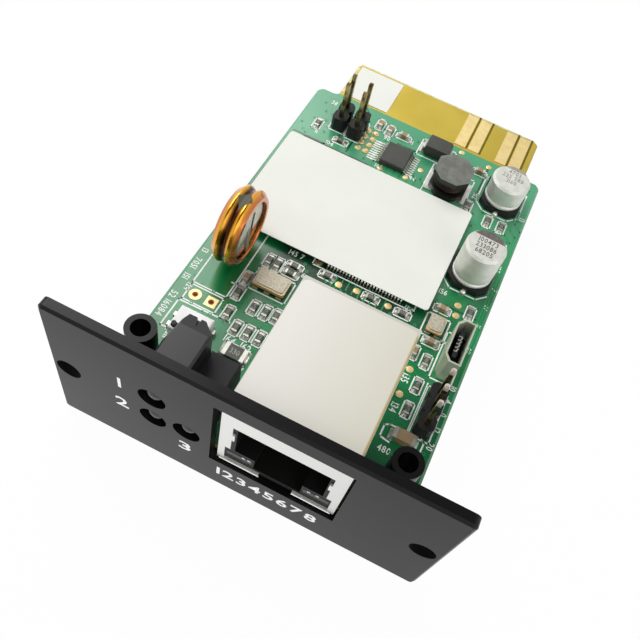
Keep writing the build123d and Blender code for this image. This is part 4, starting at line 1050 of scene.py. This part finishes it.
# %% [markdown]
# The three pins of the near header are taller than in the solid model and end in a blunt taper.
# A square pin is a profile turned in four steps, with its corners on the diagonals.

# %% Header pins
PIN_WIDTH = 0.64
PIN_CORNER_R = PIN_WIDTH / math.sqrt(2)
pin_boxes = bodies_of("serial_header_pins")
pin_foot = float(pin_boxes[:, 0, 2].min())
pin_profile = [
    (0, pin_foot), (0.3, pin_foot), (PIN_CORNER_R, pin_foot + 0.4),
    (PIN_CORNER_R, PIN_TIP_Z - 0.5), (0.24, PIN_TIP_Z), (0, PIN_TIP_Z),
]
pin_places = (pin_boxes[:, 0] + pin_boxes[:, 1])[:, :2] / 2
pin_copies = copies(turned(pin_profile, 4), pin_places, (1, 1, 1), 45.0)
tall_pins = add_piece("serial_pins", pin_copies, "gold_plating", finish="pin_gold")
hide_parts("serial_header_pins")

# %% [markdown]
# Five spring contacts lie across the tongue of the small socket. They catch the light as a
# bright zigzag.

# %% Contacts of the small socket
CONTACT_PITCH = 0.65
BARS = 9
tongue_x, tongue_y = box_middle("usb_insert")
slanted = np.arange(BARS) % 2
contact_x = tongue_x + np.where(slanted, 0.1, -0.1)
contact_y = tongue_y + CONTACT_PITCH * (np.arange(BARS) / 2 - 2)
heading = np.where(slanted, 65.0, 5.0)
roof = drawn_box("usb_insert")[1][2]
zigzag = copies(BOX, np.c_[contact_x, contact_y], (0.5, 0.13, 0.05), heading, heights=roof)
add_piece("socket_contacts", zigzag, "tinned_metal")

# %% [markdown]
# The tab is one gold field, and its contacts stand a little proud. A dark line lies along the
# right side of each: the painted shadow of the raised contact. The milled edge of the tab is
# paler.

# %% Lines of the tab
tab_fingers = bodies_of("edge_fingers")
tab_fingers = tab_fingers[tab_fingers[:, 0, 2] > -0.5]
shade_lines = [
    [(high[0] + 0.24, low[1] + 0.1), (high[0] + 0.24, high[1] + 0.2)] for low, high in tab_fingers
]
label_low, label_high = drawn_box("tab_label")
bevel_y = board_high[1] - 0.28
bevel_x = label_low[0] - 0.42
edge_lines = [
    [(bevel_x + 0.22, bevel_y), (tab_fingers[:, 1, 0].max() + 0.4, bevel_y)],
    [(bevel_x, label_low[1] + 0.6), (bevel_x, label_high[1] - 0.6)],
]
# Painted shadow: a dark strip right of each contact.
add_piece("tab_painted_shadows", strips(shade_lines, 0.36, 0.0, 0.02), "laminate", finish="tab_shade")
add_piece("tab_bevel", strips(edge_lines, 0.34, 0.0, 0.02), "laminate", finish="tab_edge")

# %% [markdown]
# Printed outlines. Each chip stands inside a thin white rectangle, which follows the chip's own
# box with a margin, and the larger parts have outlines of their own. The print is a film of
# ink, so every line is a closed bar 0.02 mm high.

# %% Printed outlines
INK_T = 0.02
INK_W = 0.21
CHIP_MARGIN = 0.32
MARGINS = {
    "processor_leads": (0.3, 0.3), "inductor_core": (0.7, 0.7), "diode_body": (0.9, 0.35),
    "large_crystal_base": (0.45, 0.45), "small_crystal_base": (0.55, 0.45),
    "jumper_header_left": (0.2, 0.2), "jumper_header_right": (0.2, 0.2),
    "serial_header_body": (0.25, 0.3), "usb_shell": (0.35, 0.45),
}


def around(low, high, margin_x, margin_y):
    """The four corners round a box."""
    x0, y0 = low[0] - margin_x, low[1] - margin_y
    x1, y1 = high[0] + margin_x, high[1] + margin_y
    return [(x0, y0), (x1, y0), (x1, y1), (x0, y1)]


def chip_outlines(bodies, cap):
    """Rectangles round the chips: the margin is wider along the chip, over its end caps and pads."""
    long = cap + PAD_REACH + 0.12
    made = []
    for low, high in bodies:
        along_x = high[0] - low[0] > high[1] - low[1]
        margins = (long, CHIP_MARGIN) if along_x else (CHIP_MARGIN, long)
        made.append(around(low, high, *margins))
    return made


def octagon(middle, half, cut):
    """A square with its near corners cut, as printed round a capacitor can."""
    x, y = middle
    return [
        (x - half, y + half), (x - half, y - half + cut), (x - half + cut, y - half),
        (x + half - cut, y - half), (x + half, y - half + cut), (x + half, y + half),
    ]


small_outlines = chip_outlines(resistor_bodies, 0.3) + chip_outlines(capacitor_bodies, 0.35)
large_outlines = [
    *(around(*drawn_box(node), *margins) for node, margins in MARGINS.items()),
    [(-18.9, 18.4), (-13.8, 18.4), (-13.8, 21.2), (-18.9, 21.2)],
    [(-19.0, 21.6), (-13.7, 21.6), (-13.7, 36.9), (-19.0, 36.9)],
]
open_lines = [
    octagon(box_middle("tall_capacitor_base"), 3.75, 1.6),
    octagon(box_middle("short_capacitor_base"), 3.75, 1.6),
    [(-17.1, 13.23), (-19.19, 13.23), (-19.16, 17.99), (-11.3, 18.2)],
    [(15.3, 12.75), (13.9, 13.0), (13.9, 14.8), (14.5, 15.2), (15.5, 15.2)],
    [(17.1, 12.7), (19.2, 12.75), (19.55, 13.3), (19.6, 14.9), (19.1, 15.2)],
    [(17.0, 15.6), (17.0, 23.5)],
    [(-14.2, 24.3), (-13.4, 24.3)],
]
strokes = [[(-17.85, 11.75 + 0.37 * i), (-17.05, 11.75 + 0.37 * i)] for i in range(4)]
add_piece(
    "printed_outlines",
    joined(
        strips(small_outlines, INK_W, 0.0, INK_T, closed=True),
        strips(large_outlines, INK_W * 1.05, 0.0, INK_T, closed=True),
        strips(open_lines + strokes, INK_W * 1.15, 0.0, INK_T),
    ),
    "white_ink",
)

# %% [markdown]
# Printed numbers. On the real card letters and numbers name the parts and the lights; here only
# plain numbers stand in their places. Each digit is made once from Blender's own font, turned
# into a closed mesh and merged, and then copied as arrays.

# %% Digits as closed meshes


def digit_shape(digit, weight=0.012):
    """A digit one unit high and one thick, from the built-in font, as points and faces."""
    curve = bpy.data.curves.new("digit", "FONT")
    curve.body = digit
    curve.extrude = 0.5
    curve.offset = weight
    curve.resolution_u = 2
    stencil = placed("digit", curve)
    evaluated = stencil.evaluated_get(bpy.context.evaluated_depsgraph_get())
    mesh = bpy.data.meshes.new_from_object(evaluated)
    corners = np.zeros(len(mesh.vertices) * 3)
    mesh.vertices.foreach_get("co", corners)
    corners = corners.reshape(-1, 3)
    places, spot = np.unique(corners.round(5), axis=0, return_inverse=True)
    faces = [tuple(spot.reshape(-1)[list(face.vertices)]) for face in mesh.polygons]
    faces = [face for face in faces if len(set(face)) == len(face)]
    bpy.data.objects.remove(stencil)
    bpy.data.meshes.remove(mesh)
    bpy.data.curves.remove(curve)
    tall = places[:, 1].max() - places[:, 1].min()
    places = (places - [0, places[:, 1].min(), places[:, 2].min()]) / [tall, tall, 1]
    return places - [places[:, 0].min(), 0, 0], faces


DIGITS = {digit: digit_shape(digit) for digit in "0123456789"}
DIGIT_GAP = 0.16
SPACE = 0.55
NARROW = 0.8


def number_shape(text):
    """Digits set side by side, one unit high, each a small gap after the last."""
    made = []
    pen = 0.0
    for digit in text:
        if digit == " ":
            pen += SPACE
            continue
        points, faces = DIGITS[digit]
        made.append((points + [pen, 0, 0], faces))
        pen += points[:, 0].max() + DIGIT_GAP
    return joined(*made)


def printed(numbers):
    """Numbers on the board: text, place of the first digit's foot, height and heading in degrees."""
    return joined(*(
        copies(number_shape(text), [at], (tall * NARROW, tall, INK_T), heading)
        for text, at, tall, heading in numbers
    ))


# %% Numbers on the board
DOWN = -90.0
board_numbers = [
    ("164", (-10.75, 15.3), 1.1, -3), ("162", (-8.3, 15.3), 1.1, -3),
    ("185", (-10.1, 11.9), 1.1, -3), ("157", (-7.7, 11.8), 1.1, -3),
    ("480", (14.2, 11.0), 1.0, 0),
    ("134", (13.5, 18.5), 1.1, DOWN), ("135", (13.3, 23.4), 1.1, DOWN),
    ("10", (19.9, 24.9), 1.0, DOWN), ("4", (20.0, 22.6), 1.0, DOWN),
    ("0", (20.0, 20.3), 1.0, DOWN), ("12", (20.0, 17.9), 1.0, DOWN), ("20", (20.0, 15.4), 1.0, DOWN),
    ("31", (20.0, 36.8), 1.0, DOWN), ("40", (20.0, 32.2), 1.0, DOWN), ("11", (16.2, 31.2), 1.0, DOWN),
    ("159", (9.4, 33.2), 1.0, -8), ("156", (13.0, 38.9), 0.95, 0),
    ("52 16084", (-20.75, 18.9), 1.05, DOWN), ("124", (-19.55, 21.1), 0.9, DOWN),
    ("151", (-20.75, 22.4), 1.0, DOWN), ("7051", (-20.75, 25.6), 1.0, DOWN),
    ("13", (-20.75, 27.6), 1.0, DOWN), ("73", (-20.75, 31.0), 1.0, DOWN),
    ("11", (-18.3, 13.2), 0.9, DOWN),
    ("145 7", (-9.6, 33.3), 0.95, 0), ("210", (-4.6, 35.9), 0.9, 0), ("16", (-6.4, 30.4), 0.9, 0),
    ("125", (19.4, 48.9), 1.0, DOWN), ("26", (18.9, 53.6), 1.0, DOWN), ("7", (20.1, 44.2), 1.0, DOWN),
    ("13", (20.0, 60.6), 1.0, DOWN), ("102", (11.4, 61.6), 1.0, DOWN), ("17", (12.0, 66.4), 1.0, DOWN),
    ("27", (20.1, 40.6), 0.9, DOWN),
    ("3", (-12.6, 61.6), 1.0, 0), ("90", (-6.6, 64.2), 1.0, 0), ("11", (-17.2, 58.6), 1.0, 0),
    ("38", (-17.8, 66.8), 1.0, 0), ("160", (-5.4, 57.3), 0.9, 0), ("44", (0.6, 58.0), 0.9, 0),
    ("104", (-14.6, 57.4), 0.9, 0), ("21", (-2.4, 65.8), 0.9, 0), ("19", (11.4, 57.6), 0.9, 0),
]
add_piece("board_numbers", printed(board_numbers), "white_ink")

# %% [markdown]
# Every chip resistor has its value on its back as three digits. They lie along the chip, and the
# last one counts the zeros.

# %% Values on the resistors
VALUES = ("100", "103", "472", "330", "221")
MARK_T = 0.015


def resistor_values():
    """Three digits along the longer side of each body, centred on its roof."""
    made = []
    for index, (low, high) in enumerate(resistor_bodies):
        size = high - low
        middle = (low + high) / 2
        along_x = size[0] > size[1]
        tall = min(float(min(size[:2])) * 0.6, 0.85)
        shape = number_shape(VALUES[index % len(VALUES)])
        wide = float(shape[0][:, 0].max()) * tall * NARROW
        shift = (-wide / 2, -tall / 2) if along_x else (-tall / 2, wide / 2)
        at = (middle[0] + shift[0], middle[1] + shift[1], high[2])
        made.append(copies(shape, [at], (tall * NARROW, tall, MARK_T), 0.0 if along_x else DOWN))
    return joined(*made)


add_piece("resistor_values", resistor_values(), "white_ink", finish="value_ink")

# %% [markdown]
# The faceplate's marks are white too, but they stand on its front face: the same digit shapes,
# laid out in X and Z, with their thickness towards -Y.

# %% Numbers on the faceplate
FACE_INK_T = 0.03


def on_the_faceplate(text, x0, x1, z, tall):
    """Digits upright on the front, spread from x0 to x1: u runs along X, v up Z, w out along -Y."""
    points, faces = number_shape(text)
    x1 = x1 or x0 + points[:, 0].max() * tall
    u, v, w = points.T
    return np.c_[x0 + u / u.max() * (x1 - x0), -w * FACE_INK_T, z + v * tall], faces


add_piece(
    "faceplate_numbers",
    joined(
        on_the_faceplate("1", -16.5, None, 6.9, 2.3),
        on_the_faceplate("2", -17.2, -15.4, 1.7, 2.3),
        on_the_faceplate("3", -8.4, -6.7, -2.0, 2.2),
        on_the_faceplate("12345678", -2.9, 11.2, -4.35, 2.15),
    ),
    "white_ink",
    finish="plate_ink_painted_glow",
)

# %% [markdown]
# Copper under the mask shows as slightly raised, slightly paler lines, and the gaps in the wide
# pours as darker ones. Both are thin bars in the mask's own gloss. The lines leave the parts at
# right angles and turn by 45 degrees, as a layout program draws them.

# %% Copper under the mask
TRACE_T = 0.03


def bent(start, *moves):
    """A line from a start point and a list of moves."""
    return np.cumsum(np.array([start, *moves], float), axis=0)


edge_traces = [
    bent((20.9 - 0.42 * i, 30.5 + 0.6 * i), (0, 27 - 2.2 * i), (-1.2, 1.2), (0, 3.0))
    for i in range(3)
]
fan_traces = [
    bent((-3.4 + i, 33.3), (0, -0.9 - 0.22 * i), (0.9, -0.9), (0.35 * (2 * i % 3), 0))
    for i in range(11)
]
left_traces = [bent((-19.9, 38.0 + 2.2 * i), (0, 9.0), (0.8, 0.8), (0, 4.0)) for i in range(2)]
rear_traces = [bent((-6.0 + 1.3 * i, 57.2), (0, 1.1), (-0.7, 0.7), (0, 0.8)) for i in range(8)]
gap_lines = [
    bent((-13.2, 19.6), (1.2, 1.2), (0, 8.6), (1.6, 1.6), (5.0, 0)),
    bent((12.9, 12.4), (0, 20.0), (1.1, 1.1), (0, 1.6)),
    bent((19.6, 12.3), (0, 14.2)),
    bent((12.6, 34.8), (2.4, 2.4), (4.6, 0)),
    bent((11.9, 56.8), (0, 12.0)),
    bent((-20.4, 57.2), (5.6, 0), (1.6, 1.6), (0, 2.4)),
    bent((-19.6, 37.6), (2.3, 0)),
    bent((-10.8, 57.6), (0, 10.8), (-1.5, 1.5)),
    bent((-3.9, 64.6), (3.2, 0), (1.2, 1.2), (0, 2.6)),
]
add_piece(
    "masked_traces",
    strips(edge_traces + fan_traces + left_traces + rear_traces, 0.22, 0.0, TRACE_T),
    "laminate",
    finish="masked_trace",
)
add_piece("pour_gaps", strips(gap_lines, 0.3, 0.0, 0.008), "laminate", finish="masked_gap")

# %% [markdown]
# Plated through holes dot the free board. Their places come from a seeded random draw: a jittered
# grid of candidates, without those that would lie under a part, a sticker or near the edge.

# %% Plated through holes
VIA_D = 0.55
VIA_SEED = 7
VIA_SPACING = 2.1
VIA_MARGIN = 0.55
NO_OBSTACLES = ("circuit_board", "faceplate", "board_pads", "edge_fingers", "tab_label")


def free_places():
    """A jittered grid over the board, less what lies inside any part's box with a margin."""
    draw = np.random.default_rng(VIA_SEED)
    x, y = np.meshgrid(np.arange(-20, 20.5, VIA_SPACING), np.arange(12, 68.5, VIA_SPACING))
    places = np.c_[x.ravel(), y.ravel()]
    places = places + draw.uniform(-0.9, 0.9, places.shape)
    solids = np.concatenate([bodies_of(name) for name in nodes if name not in NO_OBSTACLES])
    boxes = np.concatenate([solids[solids[:, 1, 2] > 0.01], pads])
    past_low = places[:, None] > boxes[None, :, 0, :2] - VIA_MARGIN
    before_high = places[:, None] < boxes[None, :, 1, :2] + VIA_MARGIN
    clear = ~(past_low & before_high).all(axis=2).any(axis=1)
    inboard = (np.abs(places[:, 0]) < 20.2) & (draw.random(len(places)) < 0.8)
    return places[clear & inboard]


vias = free_places()
rims = copies(VIA, vias, (VIA_D, VIA_D, 0.035))
fills = copies(DISC, vias, (VIA_D / 2, VIA_D / 2, 0.012))
add_piece("plated_holes", rims, "laminate", finish="masked_trace")
add_piece("hole_fills", fills, "laminate", finish="masked_gap")

# %% [markdown]
# Where pins and leads pass through the board, solder fills the hole and climbs the metal in a
# small cone on the underside. The round shape is turned about w and hung upside down by a
# negative height, so its faces are reversed to keep them outward.

# %% Solder under the pins
BOARD_T = float(board_high[2] - board_low[2])
THROUGH = (
    "rj45_contacts", "serial_header_pins", "jumper_header_pins", "led_leads", "supercap_leads",
)
leads = np.concatenate([bodies_of(name) for name in THROUGH])
pins = leads[leads[:, 0, 2] < -BOARD_T - 0.2].mean(axis=1)[:, :2]
print(len(pins), "soldered pins")
cones = flipped(copies(FILLET_CONE, pins, (1.7, 1.7, -0.9), heights=-BOARD_T))
add_piece("pin_solder", cones, "tinned_metal", smooth=True)

# %% [markdown]
# The cans carry a printed mark on top: a dark segment over the negative side and a few numbers.
# The segment is the part of a circle beyond a chord, worked out from its angle.

# %% Marks on the cans
MARK_TURN = -2.0
ROW_STEP = 1.22


def segment(radius, chord, steps=24):
    """Outline of a circle's part beyond a chord, which lies at a distance from the middle."""
    reach = math.acos(chord / radius)
    angle = np.pi / 2 + np.linspace(-reach, reach, steps)
    return np.c_[np.cos(angle), np.sin(angle)] * radius


def can_marks(node, numbers, chord, tall):
    """The dark segment and rows of numbers on one can's roof."""
    low, high = drawn_box(node)
    middle = box_middle(node)
    turn = math.radians(MARK_TURN)
    spin = np.array([[math.cos(turn), -math.sin(turn)], [math.sin(turn), math.cos(turn)]])
    dark = prism(segment((high[0] - low[0]) / 2 - 0.3, chord))
    made = [copies(dark, [middle], (1, 1, MARK_T), MARK_TURN, heights=high[2])]
    for index, text in enumerate(numbers):
        shape = number_shape(text)
        wide = shape[0][:, 0].max() * tall * NARROW
        at = middle + spin @ [-wide / 2, chord - ROW_STEP * tall * (index + 1)]
        size = (tall * NARROW, tall, MARK_T)
        made.append(copies(shape, [at], size, MARK_TURN, heights=high[2]))
    return joined(*made)


tall_marks = can_marks("tall_capacitor_can", ["100473", "233086", "68205"], 1.45, 0.92)
short_marks = can_marks("short_capacitor_can", ["4703", "225 588", "3160"], 2.1, 0.9)
add_piece("can_marks", tall_marks, "package_black", finish="can_mark")
add_piece("can_marks_pale", short_marks, "package_black", finish="can_mark_pale")

# %% [markdown]
# The lower edge of the jack's folded shield shows as two bright hairlines under the indicator
# windows, and each window has two small glints where its light guide ends. Both are painted
# highlights: thin bars that glow faintly in the faceplate's ink.

# %% Painted highlights on the jack
LIP_RUNS = ((-3.0, 2.5), (7.0, 12.3))
LIP_T = 0.09
GLINTS = ((0.05, 2.3), (0.8, 2.35), (8.9, 2.3), (10.05, 2.35))
jack_front = float(drawn_box("rj45_shield")[0][1])
window_front = float(drawn_box("rj45_indicators")[0][1])
# Painted highlights: thin glowing bars on the shield's lower edge and the windows.
lip_highlights = [((x0 + x1) / 2, jack_front - 0.02, -0.1) for x0, x1 in LIP_RUNS]
lip_sizes = [(x1 - x0, 0.06, LIP_T) for x0, x1 in LIP_RUNS]
add_piece("shield_lip_highlights", copies(BOX, lip_highlights, lip_sizes), "shield_steel", finish="plate_ink_painted_glow")
glints = [(x, window_front, z) for x, z in GLINTS]
add_piece("window_glints", copies(BOX, glints, (0.42, 0.06, 0.1)), "clear_light", finish="plate_ink_painted_glow")

# %% [markdown]
# Round lenses look out of the three holes of the faceplate. Each is a smooth nose on a barrel:
# a half circle stretched to the lens's depth, turned about the line of sight.

# %% The lights' lenses
LENS_STEPS = 10


def lens(node):
    """Radius over the depth: a quarter ellipse for the nose, then a straight barrel."""
    low, high = drawn_box(node)
    middle = (low + high) / 2
    depth = high[1] - low[1]
    radius = (high[0] - low[0]) / 2
    bend = np.linspace(0, np.pi / 2, LENS_STEPS)
    nose = np.c_[radius * np.sin(bend), radius * 0.9 * (1 - np.cos(bend))]
    points, faces = turned(np.concatenate([nose, [[radius, depth], [0, depth]]]), 32)
    u, v, w = points.T
    return flipped((np.c_[middle[0] + u, low[1] + w, middle[2] + v], faces))


for light in ("power_led", "run_led", "status_led"):
    piece = add_piece(light.replace("_led", "_lens"), lens(light), "lens_grey", smooth=True)
    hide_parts(light)

# %% [markdown]
# The card lies over a plain pale table. The camera sees the table and the sky as plain white,
# and so do mirrors and glass, by way of the Light Path node; every other ray meets an ordinary
# pale surface, which keeps the card's soft shadow.

# %% The table and the sky
FLOOR_HALF = 1.2
FLOOR_SEEN_WHITE = 0.97
FLOOR_MIRRORED = 0.74
FLOOR_FALL_OFF = 8.0
FLOOR_FADE = 0.22


def add_floor():
    """A pale table: white for the camera, and for mirrors a tone that fades from left to right."""
    z = cad_low.z
    h = FLOOR_HALF
    mesh = bpy.data.meshes.new("table_top")
    mesh.from_pydata([(-h, -h, z), (h, -h, z), (h, h, z), (-h, h, z)], [], [(0, 1, 2, 3)])
    floor = placed("table_top", mesh)
    pale = Finish("table_pale", (0.86, 0.86, 0.86, 1.0), 0.6)
    fade = (pale.axis("X") * MM * FLOOR_FALL_OFF).clamped(-FLOOR_FADE, FLOOR_FADE)
    seen = (pale.seen_by("Camera") + pale.seen_by("Transmission")).clamped()
    white = seen * FLOOR_SEEN_WHITE + pale.seen_by("Glossy") * (FLOOR_MIRRORED - fade)
    paint = Wire(pale.tree, pale.shader.outputs[0])
    glow = pale.node("ShaderNodeEmission")
    blend = pale.node("ShaderNodeMixShader", {0: white, 1: paint, 2: glow})
    plug(pale.tree, pale.tree.nodes["Material Output"].inputs[0], blend)
    mesh.materials.append(FINISHES["table_pale"])


add_floor()

# %% The sky
SKY_SOFT = 0.48
MIRRORED_LOW = 0.85
MIRRORED_OVERHEAD = 0.08
OVERHEAD_FROM = 0.765


def add_sky():
    """White for the camera; for mirrors bright low down and dark overhead; soft fill otherwise."""
    world = bpy.data.worlds.new("studio")
    bpy.context.scene.world = world
    sky = Shading(world)
    sky.tree.nodes.clear()
    direction = sky.node("ShaderNodeTexCoord", output="Generated")
    overhead = sky.part(direction, 2).above(OVERHEAD_FROM, 0.13)
    mirrored = MIRRORED_LOW - (MIRRORED_LOW - MIRRORED_OVERHEAD) * overhead
    seen = (sky.seen_by("Camera") + sky.seen_by("Transmission")).clamped()
    glossy = sky.seen_by("Glossy")
    strength = seen + (1.0 - seen) * (glossy * mirrored + (1.0 - glossy) * SKY_SOFT)
    light = sky.node("ShaderNodeBackground", {"Color": (1, 1, 1, 1), "Strength": strength})
    sky.node("ShaderNodeOutputWorld", {0: light})


add_sky()

# %% [markdown]
# One broad lamp hangs level over the left of the card and a little behind it. It lights the tops
# and the left sides, leaves the near sides in shade, and its mirror image, with an edge along Y,
# gives the left strip of the board its glare. A weaker lamp on the right keeps the near side open.

# %% Lamps


def softbox(name, at, aim, size, power):
    """An area lamp that looks at a point, both in metres; the size is its width and length."""
    lamp = bpy.data.lights.new(name, "AREA")
    lamp.shape = "RECTANGLE"
    lamp.size, lamp.size_y = size
    lamp.energy = power
    hung = placed(name, lamp)
    hung.location = at
    hung.rotation_euler = (Vector(aim) - Vector(at)).to_track_quat("-Z", "Y").to_euler()


softbox("key_softbox", (-0.285, 0.22, 0.36), (-0.285, 0.22, 0), size=(0.36, 0.46), power=2.13)
softbox("fill_softbox", (0.35, -0.2, 0.3), (0, 0, 0), size=(0.4, 0.4), power=0.54)

# %% [markdown]
# The camera stands where the picture was taken from. Its place and its three directions were
# worked out from straight edges of known size on the card, and the lens follows from the focal
# length in pixels of a frame 640 wide.

# %% Camera
CAMERA_AT = (9.69, -30.12, 85.52)
LOOK_RIGHT = np.array([0.89441, 0.41520, 0.16625])
LOOK_DOWN = np.array([0.43701, -0.73227, -0.52231])
LOOK_AHEAD = np.array([-0.09512, 0.53981, -0.83639])
FRAME_WIDTH = 640.0
FRAME_HEIGHT = 639.0
FOCAL_PIXELS = 720.07
CENTRE_PIXEL = (322.75, 321.68)


def add_camera():
    data = bpy.data.cameras.new("camera")
    data.sensor_width = 36.0
    data.lens = data.sensor_width * FOCAL_PIXELS / FRAME_WIDTH
    data.shift_x = -(CENTRE_PIXEL[0] - FRAME_WIDTH / 2) / FRAME_WIDTH
    data.shift_y = (CENTRE_PIXEL[1] - FRAME_HEIGHT / 2) / FRAME_WIDTH
    data.clip_start = 0.005
    data.clip_end = 10.0
    camera = placed("camera", data)
    stand = np.eye(4)
    stand[:3] = np.c_[LOOK_RIGHT, -LOOK_DOWN, -LOOK_AHEAD, metres(CAMERA_AT)]
    camera.matrix_world = Matrix(stand.tolist())
    bpy.context.scene.camera = camera
    print("lens", round(data.lens, 2), "mm")


add_camera()
bpy.context.scene.view_settings.view_transform = "Standard"

# %% Update the scene
bpy.context.view_layer.update()
